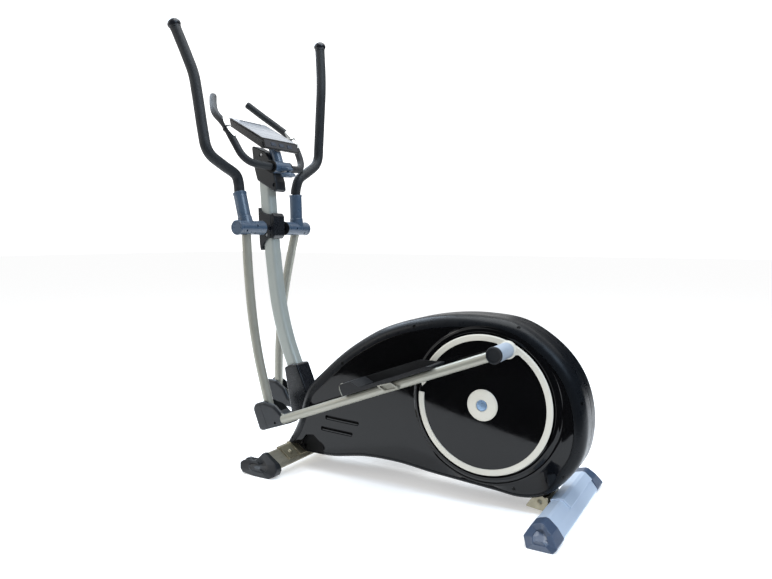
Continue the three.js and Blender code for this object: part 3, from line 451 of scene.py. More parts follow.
for node_name, mat in {
    "main_frame": FRAME_BLACK, "rear_stabilizer": FRAME_BLACK, "crank_axle": STEEL,
    "crank_pulley": PLASTIC, "drive_belt": RUBBER, "flywheel": IRON, "magnet_bracket": STEEL,
    "brake_motor": PLASTIC, "power_inlet": PLASTIC, "pivot_axle": CHROME,
    **{start + side_name: mat for side_name in SIDES for start, mat in (
        ("crank_arm_", CREAM), ("crank_pin_", STEEL), ("handle_tube_", FRAME_BLACK))},
}.items():
    obj = NODES[node_name]
    obj.data.materials.clear()
    obj.data.materials.append(mat)
    obj.data.polygons.foreach_set("use_smooth", [True] * len(obj.data.polygons))
    obj.data.set_sharp_from_angle(angle=math.radians(35))


# ------ shell
OUTLINE = [
    (104, 58), (116, 90), (133, 122), (164, 188), (181, 250), (208, 305), (269, 365), (340, 427),
    (409, 477), (517, 538), (644, 580), (763, 601), (877, 605), (986, 592), (1065, 555),
    (1141, 491), (1192, 410), (1216, 300), (1201, 189), (1153, 114), (1092, 60), (1020, 42),
    (933, 48), (823, 56), (707, 65), (585, 78), (456, 78), (320, 57), (200, 56)]
CREASE = [(268, 72), (318, 91), (383, 112), (445, 131), (513, 144), (585, 148), (652, 142),
          (717, 127), (771, 107), (830, 84), (902, 74), (975, 80), (1042, 108), (1096, 152),
          (1134, 212), (1154, 282), (1158, 345)]
HUB = np.array([902.4, 328.4])
PANEL_Y, CREST_HALF, SKIN = 85, 40, 3
RIM = (247, 228)
crest = spline(OUTLINE, 264, closed=True)
along = np.roll(crest, -1, 0) - np.roll(crest, 1, 0)
along /= np.linalg.norm(along, axis=1)[:, None]
INWARD = np.stack([along[:, 1], -along[:, 0]], 1)


def smooth(value, low, high):
    t = np.clip((value - low) / (high - low), 0, 1)
    return t * t * (3 - 2 * t)


def polar(points):
    d = np.array(points, float) - HUB
    angle = np.degrees(np.arctan2(d[:, 1], d[:, 0])) % 360
    return np.where(angle < 90, angle + 360, angle), np.linalg.norm(d, axis=1)


def band_ring(angle, inset):
    """The crest carried round the shell's rolled edge: 0 is the crest, a right angle the side."""
    reach = np.interp(crest[:, 0], [100, 1216], [44, 33])
    reach = reach * (0.45 + 0.55 * smooth(crest[:, 1], 75, 150))
    return crest + INWARD * (inset + reach * (1 - math.cos(angle)))[:, None]


def sag(angle):
    """How far the side leans in under the crease, by angle in degrees about the hub."""
    return 9 * (smooth(angle, 202, 222) * (1 - smooth(angle, 335, 362)))


panel_edge = band_ring(math.pi / 2, 0)
angles = polar(panel_edge)[0]
edge_first = int(np.argmax(angles))
panel_edge, angles = np.roll(panel_edge, -edge_first, 0), np.roll(angles, -edge_first)
panel_edge = panel_edge[angles <= np.minimum.accumulate(angles)]
edge_angle, edge_radius = polar(panel_edge)
crease_angle, crease_radius = polar(resample(spline(CREASE, 300), 300))
order = np.argsort(crease_angle)
crease_at = np.interp(edge_angle, crease_angle[order], crease_radius[order])
folded = smooth(edge_angle, 200, 214) * (1 - smooth(edge_angle, 348, 364))
crease_at = edge_radius - 8 + (crease_at - edge_radius + 8) * folded
crease_at = np.minimum(crease_at, edge_radius - 4)
SAG = sag(edge_angle)
CREST_SAG = sag(polar(band_ring(math.pi / 2, 0))[0])


def flat_row(radius, y):
    unit = (panel_edge - HUB) / edge_radius[:, None]
    at = HUB + unit * np.asarray(radius)[:, None]
    return [(x, float(d), z) for (x, z), d in zip(at, np.broadcast_to(y, len(at)))]


def band_shape(side):
    rows = []
    lead = ((1.6, 0.4), (0.5, 0.8), (0, 1.8), (0, 12), (0, 26))
    for inset, y in lead:
        rows.append([(x, side * y, z) for x, z in crest + INWARD * inset])
    for angle in np.linspace(0, math.pi / 2, 13):
        lateral = CREST_HALF + (PANEL_Y - CREST_SAG - CREST_HALF) * math.sin(angle)
        rows.append([(x, side * y, z) for (x, z), y in zip(band_ring(angle, 0), lateral)])
    for angle in np.linspace(math.pi / 2, 0, 6):
        lateral = CREST_HALF - 2 + (PANEL_Y - CREST_SAG - CREST_HALF - 1) * math.sin(angle)
        rows.append([(x, side * y, z) for (x, z), y in zip(band_ring(angle, SKIN), lateral)])
    rows.append([(x, side * 0.4, z) for x, z in crest + INWARD * SKIN])
    return grid(rows, ring=True)


def panel_shape(side):
    edge, fold = edge_radius - 1.6, crease_at
    level = PANEL_Y - SAG
    rows = [flat_row(edge, side * (level - 1.6)), flat_row(edge - 0.5, side * (level - 0.4)),
            flat_row(edge - 1.6, side * level)]
    for t in (0.35, 0.7, 0.93):
        rows.append(flat_row(edge - 1.6 + (fold + 2 - edge) * t,
                             side * (level + (PANEL_Y - level) * t)))
    rows.append(flat_row(fold, side * (PANEL_Y + 0.2)))
    for t in (0.06, 0.2, 0.4, 0.6, 0.8, 0.94):
        rows.append(flat_row(fold + (RIM[0] - fold) * t,
                             side * (PANEL_Y + 0.4 + 1.2 * math.sin(math.pi * t))))
    rows.append(flat_row(edge * 0 + RIM[0], side * (PANEL_Y + 0.4)))
    rows.append(flat_row(edge * 0 + RIM[0], side * (PANEL_Y - SKIN)))
    rows.append(flat_row(fold, side * (PANEL_Y - SKIN)))
    rows.append(flat_row(edge - 1, side * (level - SKIN - 1.6)))
    return grid(rows, ring=True)


HOLE_FRONT = block(90, 202, -120, 120, 20, 90)
BOOT = [(74, 356), (106, 371), (136, 375), (198, 232), (188, 196), (124, 172), (108, 180)]
RECESS = [(168, 40), (190, 100), (211, 129), (246, 134), (287, 100), (290, 76), (278, 40)]
VENTS = ((299, 445, 206, -0.033), (280, 419, 163, -0.028))
SCREWS = ((147, 77, 108, 55), (373, 84, 408, 78), (654, 82, 557, 66), (1006, 69, 576, 42),
          (1200, 66, 364, 38), (1154, 74, 133, 52), (1003, 83, 75, 90))


def vent_outline(spec, grow):
    x0, x1, z, slope = spec
    return rounded([(x0 - grow, z - 8 - grow), (x1 - 8 + grow, z - 8 - grow + slope * 180),
                    (x1 + grow, z + 8 + grow + slope * 180), (x0 - grow, z + 8 + grow)],
                   6 + grow, 4)


def screw_at(x, y, z, angle, side):
    """Seat and outward axis of a shell screw, angle degrees round from the nearest crest."""
    k = int(np.argmin(np.linalg.norm(crest - np.array([x, z]), axis=1)))
    a = math.radians(angle)
    out = -INWARD[k] * math.cos(a)
    return (x, side * y, z), (out[0], side * math.sin(a), out[1])


for side_name, side in SIDES.items():
    seats = [screw_at(*spec, side) for spec in SCREWS]
    pits = [spin(drum(5.6, -7, 12), at, axis, 20) for at, axis in seats]
    foot_bay = slab(rounded(RECESS, 9), side * 70, side * 100)
    piece(side_name + "_shell_band", [band_shape(side)], BASE, BAND, "frame",
          cuts=[HOLE_FRONT, block(1000, 1110, -28, 28, 20, 90),
                block(1030, 1110, -63, 63, 6, 62), slab(BOOT, -39, 39), foot_bay] + pits[:6])
    openings = [slab(vent_outline(v, 0), side * 70, side * 100) for v in VENTS]
    openings.append(foot_bay)
    if side > 0:
        openings.append(lathe(drum(8.6, 70, 100), 226, 174))
    piece(side_name + "_shell_panel", [panel_shape(side)], BASE, GLOSS, "frame",
          replaces=[side_name + "_shell"], cuts=openings + [HOLE_FRONT, pits[6]])
    piece(side_name + "_shell_rim", [lathe([
        (RIM[0], 83), (RIM[0], 85.6), (245, 87.2), (241.5, 88.6), (240, 90.6), (237.5, 91.9),
        (232, 92), (229, 91.2), (228, 89.4), (228, 86), (226.5, 84.8), (60, 84.2), (60, 81.5),
        (226, 81.5)], *HUB, side, 128, ring=True)], BASE, GLOSS, "frame")
    # dark backs behind the vent slots: painted shade inside the vents
    backs = [slab(vent_outline(vent, 4), side * 70, side * 77, 1) for vent in VENTS]
    piece(side_name + "_vent_shade_backs", backs, BASE, RECESS_SHADE_AND_TRIM_BLACK, "frame")
    blades = []
    for x0, x1, z, slope in VENTS:
        drop = slope * 180
        blades.append(slab([(x0 + 3, z - 8.5), (x1 - 11, z - 8.5 + drop), (x1 - 8, z - 1 + drop),
                            (x0 + 3, z - 1)], side * 76, side * 83.4, 1.6))
    piece(side_name + "_vent_blades", blades, BASE, GLOSS, "frame")
    # dark dish in the foot recess: painted shade in the hollow under the shell
    dish = [(x + (3 if x > 240 else -3), z + 3 if z > 50 else 63) for x, z in RECESS]
    piece(side_name + "_foot_recess", [slab(rounded(dish, 8), side * 66, side * 83)], BASE,
          RECESS_SHADE_AND_TRIM_BLACK, "frame",
          cuts=[slab(rounded(RECESS, 6), side * 69, side * 90),
                block(100, 400, side * 69.5, side * 90, 30, 77), HOLE_FRONT])
    heads = [spin([(0, -5.2), (5, -5.2), (5, -3.6), (3.8, -2.6), (1.6, -2.6), (1.3, -3.8),
                   (0, -3.8)], at, axis, 24) for at, axis in seats]
    piece(side_name + "_shell_screws", heads, BASE, RECESS_SHADE_AND_TRIM_BLACK, "frame")

# ------ stabilisers, feet, brackets
FRONT_TUBE = [(126, 30), (185, 30), (189, 34), (179, 48), (134, 79), (125, 79), (122, 75),
              (122, 34)]
FRONT_FOOT = [(96, 0), (162, 0), (184, 10), (192, 26), (191, 36), (181, 51), (130, 82),
              (118, 80), (92, 52), (62, 50), (36, 45), (23, 36), (28, 16), (42, 5)]
REAR_FOOT = [(1112, 0), (1186, 0), (1197, 12), (1176, 42), (1152, 63), (1143, 65), (1116, 57),
             (1099, 28)]
REAR_COVER = [(1108, 9), (1188, 5), (1195, 12), (1173, 39), (1150, 59), (1142, 61), (1114, 53),
              (1106, 34)]


def raked(outline, start, foot, top, height, side, radius):
    """Cap whose outer face leans in toward its top, with a rolled rim."""
    roll = 3.0
    pts = rounded(outline, radius, 5)
    mid = np.mean(np.array(pts), 0)
    rows = []

    def row(scale, shift):
        made = []
        for x, z in pts:
            reach = foot + (top - foot) * z / height
            made.append((mid[0] + (x - mid[0]) * scale, side * (shift(reach)),
                         mid[1] + (z - mid[1]) * scale))
        return made
    rows.append(row(0.97, lambda reach: start))
    rows.append(row(1.0, lambda reach: start + 1))
    rows.append(row(1.0, lambda reach: start + (reach - start) * 0.5))
    for a in np.linspace(0, math.pi / 2, 6):
        rows.append(row(1 - 0.045 * (1 - math.cos(a)),
                        lambda reach: reach - roll * (1 - math.sin(a))))
    for inset, depth in ((0.9, 0.0), (0.6, -0.6), (0.5, -0.6), (0.48, 2.4), (0.2, 2.4)):
        rows.append(row(inset, lambda reach: reach - depth))
    return grid(rows)


piece("front_stabilizer_tube", [slab(rounded(FRONT_TUBE, 3), -212, 212, 1)], BASE, FRONT_SILVER,
      "frame", replaces=["front_stabilizer"])
SADDLE = [(123.6, 79.2), (134, 79.2), (179.3, 48), (186, 50.6), (137.4, 84.6), (123.6, 84.6)]
RISER = [(123, 84), (137.6, 84), (186, 50.2), (189.6, 52.6), (139, 88.4), (123, 88.4)]
slope_out = (0.567, 0, 0.825)
DOME = [(0, -1), (9.6, -1), (9.6, 1), (8, 1.6), (7, 1.7), (6.4, 3.4), (4.4, 5.2), (0, 6)]
parts = [slab(rounded(SADDLE, 1.2), -147.4, 147.4, 0.8), slab(rounded(RISER, 1.2), -88, 88, 0.8)]
parts += [spin(DOME, (163, s * 116, 67.2), slope_out) for s in (-1, 1)]
piece("front_mount_plate", parts, BASE, ZINC, "frame")
parts = [slab(rounded([(1034, 21.4), (1103.4, 13.4), (1104.6, 50), (1086, 63), (1058, 56)], 3),
              s * 57.5, s * 61.5, 0.8) for s in (-1, 1)]
parts += [slab(rounded([(1038, 21.6), (1103.6, 13.4), (1103.6, 19.6), (1038, 27.6)], 1), -61, 61),
          slab(rounded([(1096.6, 13.4), (1103.6, 13.4), (1103.6, 58.6), (1096.6, 58.6)], 1),
               -61, 61)]
parts += [spin(DOME, (1078, s * 61.5, 40), (0, s, 0)) for s in (-1, 1)]
piece("rear_mount_plate", parts, BASE, ZINC, "frame")
cover_parts = [slab(rounded(REAR_COVER, 4), -211.6, 211.6, 0.8)]
lid = [(1112, 52), (1141.5, 60.4), (1150, 58.4), (1171, 40.5), (1176.4, 43.6), (1153, 64),
       (1142, 66.2), (1112, 57)]
cover_parts.append(slab(rounded(lid, 1.6), -62, 211.2, 1.2))
piece("rear_stabilizer_lid", cover_parts, BASE, REAR_SILVER_BLUE_REFLECTION, "frame",
      replaces=["rear_stabilizer_cover"])
ROLLER_AT = (57, 29)
for side_name, side in SIDES.items():
    foot = raked(REAR_FOOT, 212, 295, 262, 65, side, 5)
    grip = [slab(rounded([(1124, z - 2), (1172, z - 2), (1168, z + 2), (1128, z + 2)], 1.5),
                 side * (292 - z * 0.5), side * (296.4 - z * 0.5), 1) for z in (16, 27)]
    piece("rear_cap_" + side_name, [foot] + grip, BASE, REAR_CAPS_SKY_HIGHLIGHT, "frame",
          replaces=["rear_foot_" + side_name])
    foot = raked(FRONT_FOOT, 203, 242, 217, 83, side, 6)
    arm = slab(rounded([(60, 3), (112, 2), (112, 70), (92, 50), (62, 49), (36, 44), (24, 36),
                        (29, 16), (42, 6)], 4), side * 193, side * 205, 1.5)
    piece("front_cap_" + side_name, [foot], BASE, CAPS, "frame",
          replaces=["front_foot_" + side_name], adds=[arm],
          cuts=[lathe(drum(29, 199, 223), *ROLLER_AT, side),
                block(10, 83, side * 199, side * 223, 29, 90)])
    piece("transport_roller_" + side_name, [lathe([
        (4.6, 202), (16, 202), (17, 203.4), (21, 203.4), (22, 202), (24.6, 202.6), (26, 205),
        (26, 217), (24.6, 219.4), (22, 220), (21, 218.6), (17, 218.6), (16, 220), (4.6, 220)],
        *ROLLER_AT, side, 48, ring=True)], BASE, CAPS, "wheel_" + side_name + "_body",
        replaces=["transport_wheel_" + side_name])

# ------ mast
MAST_LINE = [(-30, 1130), (-22, 1000), (-12, 884), (3, 740), (25, 590), (60, 462), (108, 345),
             (182, 180)]
CLAMP_AT, HEAD_SCREW, WING_SCREW = (34, 1113), (-33, 1162), (-9, 858)
HEAD = [(-80, 1202, 7), (-71, 1125, 20), (-54, 1068, 12), (30, 1021, 7), (42, 1028, 6),
        (38, 1060, 14), (12, 1140, 12), (-10, 1170, 8)]
section = rounded([(-27, -23.5), (27, -23.5), (27, 23.5), (-27, 23.5)], 14, 7)
line = part_of(spline([(x, 0, z) for x, z in MAST_LINE], 300), 0.04, 0.97, 70)
piece("mast_tube", [tube(line, 1.0, section=[(b, a) for a, b in section])], BASE, MAST,
      "frame", replaces=["mast"])
inner_mast = tube(line, 0.98, section=[(b, a) for a, b in section])
piece("mast_boot", [slab(rounded(BOOT, 9), -38, 38, 7, 5)], BASE, SMOOTH, "frame",
      replaces=["mast_foot_cover"], cuts=[inner_mast])
screw_pit = [lathe(drum(8, 24, 40), x, z, s, 32)
             for s in (-1, 1) for x, z in (HEAD_SCREW, (30, 1047))]
piece("mast_head", [slab(rounded(HEAD, 8), -29, 29, 4.5, 4)], BASE, PLASTIC, "frame",
      replaces=["mast_head_cover"],
      cuts=screw_pit + [lathe(drum(24.4, -60, 60), *CLAMP_AT)])
SCREW_HEAD = [(0, 23), (6.4, 23), (6.6, 25), (5.4, 26.6), (2.2, 27), (1.8, 25.8), (0, 25.8)]
WING = [(-49, 966), (-38, 953), (-24, 944), (-8, 939), (13, 937), (9, 848), (-6, 843),
        (-18, 833), (-28, 818), (-36, 798), (-41, 808), (-44, 830), (-47, 900)]
wing_pit = [lathe(drum(8, 25, 40), *WING_SCREW, s, 32) for s in (-1, 1)]
piece("pivot_wings", [slab(rounded(WING, 1.6), -30, 30, 1.2)], BASE, PLASTIC, "frame",
      replaces=["pivot_cover_front"], cuts=wing_pit + [inner_mast])
BLOCK = [(13.6, 941, 4), (22, 942, 7), (31, 930, 10), (31, 856, 10), (22, 844, 7), (9.6, 845, 4)]
piece("pivot_block", [slab(rounded(BLOCK, 4), -30.5, 30.5, 3.5, 4)], BASE, SMOOTH, "frame",
      replaces=["pivot_cover_rear"], cuts=[inner_mast])
heads = [lathe(SCREW_HEAD, *HEAD_SCREW, s, 24) for s in (-1, 1)]
heads += [lathe([(r, y + 1.6) for r, y in SCREW_HEAD], *WING_SCREW, s, 24) for s in (-1, 1)]
piece("mast_screws", heads, BASE, STEEL, "frame")

# ------ fixed handlebar and clamp
BAR = [(34, 0, 1113), (34, 45, 1113), (28, 95, 1115), (17, 145, 1122), (3, 173, 1144),
       (-22, 186, 1192), (-66, 188, 1258), (-121, 175, 1303), (-165, 140, 1343), (-207, 97, 1386)]
whole = [(x, -y, z) for x, y, z in BAR[:0:-1]] + BAR
piece("handlebar_tube", [tube(spline(whole, 160), 12.5, 24)], BASE, SMOOTH, "handlebar_body",
      replaces=["handlebar"])


def half_sleeve(line, radius, reach, facing):
    """Curved plate on one side of a bar; reach gives its half angle along it."""
    p, turns = frames_along(line)
    rows = []
    for k, (at, (t, _, _)) in enumerate(zip(p, turns)):
        n = np.array(facing, float)
        n = n - t * (n @ t)
        n /= np.linalg.norm(n)
        b = np.cross(t, n)
        half = math.radians(reach(k / (len(p) - 1)))
        arc = np.linspace(-half, half, 17)
        outer = [at + (n * math.cos(a) + b * math.sin(a)) * radius for a in arc]
        inner = [at + (n * math.cos(a) + b * math.sin(a)) * (radius - 2) for a in arc[::-1]]
        rows.append(outer + inner)
    return grid(rows)


for side_name, side in SIDES.items():
    half = spline([(x, side * y, z) for x, y, z in BAR], 300)
    covered = part_of(half, 0.105, 1.0, 120)
    tip = covered[-1] + (covered[-1] - covered[-2]) / np.linalg.norm(covered[-1] - covered[-2]) * 6
    piece("handlebar_foam_" + side_name, [tube(np.vstack([covered, tip]), 13.7, 32, (2, 8))],
          BASE, FOAM, "handlebar_body", replaces=["handlebar_grip_" + side_name])
    plates = [half_sleeve(part_of(half, 0.478, 0.552, 14), 15.9, lambda t: 42 + 44 * t ** 0.6,
                          (0.8, -0.5 * side, 0.55)),
              half_sleeve(part_of(half, 0.566, 0.64, 14), 15.9,
                          lambda t: 86 - 44 * t ** 1.6, (0.8, -0.5 * side, 0.55))]
    piece("pulse_plates_" + side_name, plates, BASE, PULSE, "handlebar_body")
    band = part_of(half, 0.552, 0.566, 4)
    piece("pulse_divider_" + side_name, [tube(band, 16.2, 32)], BASE, SMOOTH,
          "handlebar_body")

clamp_profile = [(13.2, -47), (21.4, -47), (22.8, -45.6), (23, -44), (23, 44), (22.8, 45.6),
                 (21.4, 47), (13.2, 47)]
KNOB_AXIS = ((74, 0, 0), (0, 0, 1))
EAR = [(30, 1098, 4), (88, 1098, 6), (88, 1110, 6), (30, 1116, 4)]
piece("handlebar_clamp_body", [lathe(clamp_profile, *CLAMP_AT, 1, 56, ring=True)], BASE, CLAMP_BLUE_HIGHLIGHT,
      "frame", replaces=["handlebar_clamp"],
      adds=[slab(rounded(EAR, 5), -15, 15, 3.5, 4)],
      cuts=[spin(drum(5.4, 1050, 1150), *KNOB_AXIS)])
rings = [lathe([(13, 46.6), (23.6, 46.6), (24, 47.4), (24, 51), (23, 52.4), (13, 52.4)],
               *CLAMP_AT, s, 56, ring=True) for s in (-1, 1)]
piece("clamp_end_rings", rings, BASE, RECESS_SHADE_AND_TRIM_BLACK, "frame")
KNOB = [(0, 1074), (12, 1074.4), (22, 1076.4), (27, 1080), (28, 1083.4), (26.6, 1087),
        (21, 1090.6), (12, 1093), (8, 1094), (0, 1094)]
piece("clamp_knob_head", [spin(KNOB, *KNOB_AXIS, 64), spin(drum(5, 1090, 1112), *KNOB_AXIS, 24)],
      BASE, CLAMP_BLUE_HIGHLIGHT, "knob_body", replaces=["clamp_knob"])

# ------ console
CONSOLE = place((PIVOT.x + 38 * MM, 0, 1212 * MM), math.radians(-28.7))
FACE = [(-181, 0.4, 1.5), (0, 0.4, 1.5), (26, -26, 2), (23.2, -28.8, 1.5), (-1.7, -4, 0),
        (-181, -4, 1.5)]
TUB = [(-180, -4.2, 2.4), (-1.9, -4.2, 0), (22.9, -29, 2.4), (14, -34, 6), (-156, -28, 12)]


def key(y, grow, sink=0.0):
    at = np.array([13.0, 0, -13.0]) - np.array([1, 0, 1]) * (1.2 + sink / 2) * math.sqrt(0.5)
    w, h = 6.5 + grow, 3.5 + grow + sink / 2
    u, v = np.array([1, 0, -1]) * math.sqrt(0.5), np.array([1, 0, 1]) * math.sqrt(0.5)
    ring = [at + u * a + v * b for a, b in ((-w, -h), (w, -h), (w, h), (-w, h))]
    return slab(rounded([(p[0], p[2]) for p in ring], 1.0 if not sink else 0.2, 3),
                y - 13 - grow, y + 13 + grow, 0.8 if not sink else 0)


KEYS_AT = (-48, 0, 48)
slot = block(-169, -162, -62, 62, -3, 3)
piece("console_frame", [slab(rounded(FACE, 1), -104, 104, 1)], CONSOLE, GLOSS, "frame",
      replaces=["console_face"], cuts=[slot] + [key(y, 0.6, 6) for y in KEYS_AT])
piece("console_tub", [slab(rounded(TUB, 3), -103.6, 103.6, 2)], CONSOLE, SMOOTH, "frame",
      replaces=["console_housing"], cuts=[key(y, 0.6, 4) for y in KEYS_AT])
neck = tube([(30 - 22 * t, 0, 1125 + 66 * t) for t in np.linspace(0, 1, 12)],
            lambda t: 19 + 3 * smooth(t, 0.62, 0.95), 48)
piece("console_neck", [neck], BASE, CLAMP_BLUE_HIGHLIGHT, "frame",
      cuts=[lathe(drum(24.2, -60, 60), *CLAMP_AT),
            slab([(0, 1188), (40, 1168), (40, 1260), (-40, 1260), (-40, 1210)], -40, 40)])
window = slab(rounded([(-176.6, -2), (-4.6, -2), (-4.6, 0.9), (-176.6, 0.9)], 0.3), -97.5, 97.5,
              0.3)
piece("console_screen", [window], CONSOLE, SCREEN, "frame",
      replaces=["console_display"], cuts=[slot])
# each printed line: from x to x, from y to y
LINES = [(-148, -22, -84, -83.1), (-148, -22, 83.1, 84), (-148, -147.1, -84, 84),
         (-22.9, -22, -84, 84)]
LINES += [(x, x + 0.8, -80, 80) for x in (-118, -92, -48)]
LINES += [(-117, -93, y, y + 0.8) for y in (-40, 0, 40)]
lines = [block(*line, 0.6, 1.1) for line in LINES]
piece("console_print", lines, CONSOLE, MARKS, "frame")
chin = slab([(3.4, -2.6), (23.8, -23), (22.4, -24.6), (2, -4.2)], -97, 97, 0.4)
piece("console_chin", [chin], CONSOLE, CHIN, "frame",
      cuts=[key(y, 0.6, 6) for y in KEYS_AT])
for k, y in enumerate(KEYS_AT, 1):
    piece(f"console_key_{k}", [key(y, 0)], CONSOLE, KEYS, f"button_{k}_body",
          replaces=[f"console_button_{k}"])

# ------ discs and cranks
def arc_band(profile, start, end, side, taper):
    """Section of (radius, y) swept about the crank, its far end narrowed to a point."""
    middle, count = 212.7, 150
    rows = []
    for k in range(count + 1):
        a = start + (end - start) * k / count
        s = max(min((end - a) / taper, 1), 0.03)
        b = math.radians(a if side < 0 else -a)
        rows.append([((middle + (r - middle) * s) * math.cos(b), side * y,
                      (middle + (r - middle) * s) * math.sin(b)) for r, y in profile])
    return grid(rows)


for side_name, side in SIDES.items():
    frame_at = CRANK[side_name]
    piece("disc_" + side_name, [lathe([
        (28, 92), (28, 95.5), (120, 95.5), (198, 95.5), (201, 95.2), (220, 95.2), (222, 94.8),
        (222.7, 94), (222.7, 92.6), (222, 92)], 0, 0, side, 160, ring=True)], frame_at, GLOSS,
        "crankset", replaces=["crank_disc_" + side_name])
    ring_profile = [(202.9, 95), (202.9, 97.6), (203.8, 98.8), (205.6, 99.2), (217.6, 99.2),
                    (219.6, 98.8), (222.6, 96.2), (222.6, 95)]
    ring = arc_band(ring_profile, 108.4, 463.0, side, 3.8)
    web = []
    for a in np.radians(np.linspace(-13, 13, 15)):
        web.append((211 * math.cos(a), 211 * math.sin(a)))
    for a in np.radians(np.linspace(100, 260, 17)):
        web.append((CRANK_THROW + 25.5 * math.cos(a), 25.5 * math.sin(a)))
    gusset = slab(web, side * 95, side * 99.6, 0.8)
    boss = lathe([(12, 95), (29, 95), (28.4, 99), (26.6, 100.6), (25.6, 106), (24.4, 107.2),
                  (12, 107.4)], CRANK_THROW, 0, side, 56, ring=True)
    piece("crank_ring_" + side_name, [ring, gusset, boss], frame_at, CREAM, "crankset")
    piece("hub_cover_" + side_name, [lathe([
        (0, 95.6), (50, 95.6), (50, 98.4), (49, 99.8), (46.8, 100.3), (46.1, 99.7), (45.2, 100.5),
        (32, 102.6), (19.4, 103.8), (18.6, 102.6), (17.8, 102.6), (0, 102.6)], 0, 0, side, 96)],
        frame_at, CREAM, "crankset", replaces=["crank_hub_cover_" + side_name])
    piece("hub_cap_" + side_name, [lathe([
        (0, 102.4), (17.6, 102.4), (17.6, 104), (16.8, 104.8), (15.4, 104.8), (14.6, 104),
        (13.6, 104.2), (8, 104.8), (0, 105)], 0, 0, side, 64)], frame_at, CAP_BLUE, "crankset")

# ------ swing arms
ARM_Y = 149
for side_name, side in SIDES.items():
    at, body = ARM[side_name], "arm_" + side_name + "_body"
    y = lambda value: side * value
    barrel = lathe([(12.6, 66), (26, 66), (26, 193), (25, 195.4), (12.6, 196)], 0, 0, side, 64,
                   ring=True)
    socket_line = spline([(-4, y(148), 8), (-12, y(145), 70), (-21, y(141), 133.5)], 24)
    socket = tube(socket_line, lambda t: 24 + 1.6 * smooth(t, 0.93, 0.97), 40, (0, 1.6))
    blend_skirt = tube(spline([(-3, y(148), 2), (-5, y(147.4), 24), (-8, y(146.5), 40)], 12),
                       lambda t: 25.8 + 3.2 * (1 - t) ** 2, 40, (0, 1.8))
    pits = [spin(drum(4.6, 21, 32), (0, y(d), 0), (math.cos(a), 0, math.sin(a)), 24)
            for d, a in ((118, 0.15), (122, -1.1), (174, -0.6))]
    piece("arm_barrel_" + side_name, [barrel], at, CLAMP_BLUE_HIGHLIGHT, body,
          replaces=["arm_pivot_" + side_name], adds=[socket, blend_skirt], cuts=pits)
    piece("barrel_ring_" + side_name, [lathe([
        (13, 61.8), (26.4, 61.8), (27.2, 62.6), (27.2, 65.4), (26.4, 66.4), (13, 66.4)], 0, 0,
        side, 56, ring=True)], at, RECESS_SHADE_AND_TRIM_BLACK, body)
    piece("barrel_cap_" + side_name, [lathe([
        (0, 203.4), (17, 203.6), (22, 203.6), (23, 205.4), (25.6, 205.4), (27.2, 203.4),
        (27.4, 198), (26.8, 195.4), (26, 194.6), (22.6, 196.6), (22.6, 203.2),
        (0, 203.2)][::-1], 0, 0, side, 64)], at, CLAMP_BLUE_HIGHLIGHT, body)
    handle = spline([
        (-11, y(145.5), 62), (-21, y(141), 134), (-20, y(141), 168), (-19, y(150), 196),
        (-23, y(205), 228), (-27, y(260), 262), (-29, y(275), 290), (-33, y(276), 340),
        (-42, y(271), 480), (-48, y(270), 553), (-62, y(276), 620), (-93, y(286), 738)], 400)
    foam = part_of(handle, 0.1, 1.0, 150)
    end = foam[-1] - foam[-2]
    foam = np.vstack([foam, foam[-1] + end / np.linalg.norm(end) * 12])
    piece("handle_foam_" + side_name, [tube(foam, 19.4, 40, (1.5, 15))], at, FOAM, body,
          replaces=["handle_grip_" + side_name])
    tip, out = Vector(foam[-1]), Vector(foam[-1] - foam[-4]).normalized()
    ball = [(0, -26), (19.6, -26), (19.9, -24.6), (20.4, -24.4)]
    ball += [(24 * math.cos(a), -8 + 19 * math.sin(a)) for a in np.linspace(-0.9, 1.5, 16)]
    piece("handle_ball_" + side_name, [spin(ball + [(0, 11)], tip, out)], at, SMOOTH, body)
    lower = spline([(-6, y(ARM_Y), -10), (-20, y(ARM_Y), -150), (-29, y(ARM_Y), -330),
                    (-25, y(ARM_Y), -470), (-12, y(ARM_Y), -590), (0, y(ARM_Y), -676)], 80)
    knuckle = lathe([(9.4, 134), (19, 134), (20, 135), (20, 164), (19, 165), (9.4, 165)], 0,
                    -ARM_LENGTH, side, 48, ring=True)
    piece("swing_tube_" + side_name, [tube(lower, 17, 40), knuckle], at, SILVER, body,
          replaces=["lower_arm_" + side_name],
          cuts=[lathe(drum(26.2, 90, 197), 0, 0, side, 64)])

# ------ foot rails
COVER = [(-50, -46, 16), (104, -46, 14), (104, -12, 14), (74, -6, 16), (52, 30, 22),
         (6, 56, 24), (-40, 56, 18), (-54, 40, 18)]


def axis_z(x):
    return RAIL_DROP * x / RAIL_LENGTH


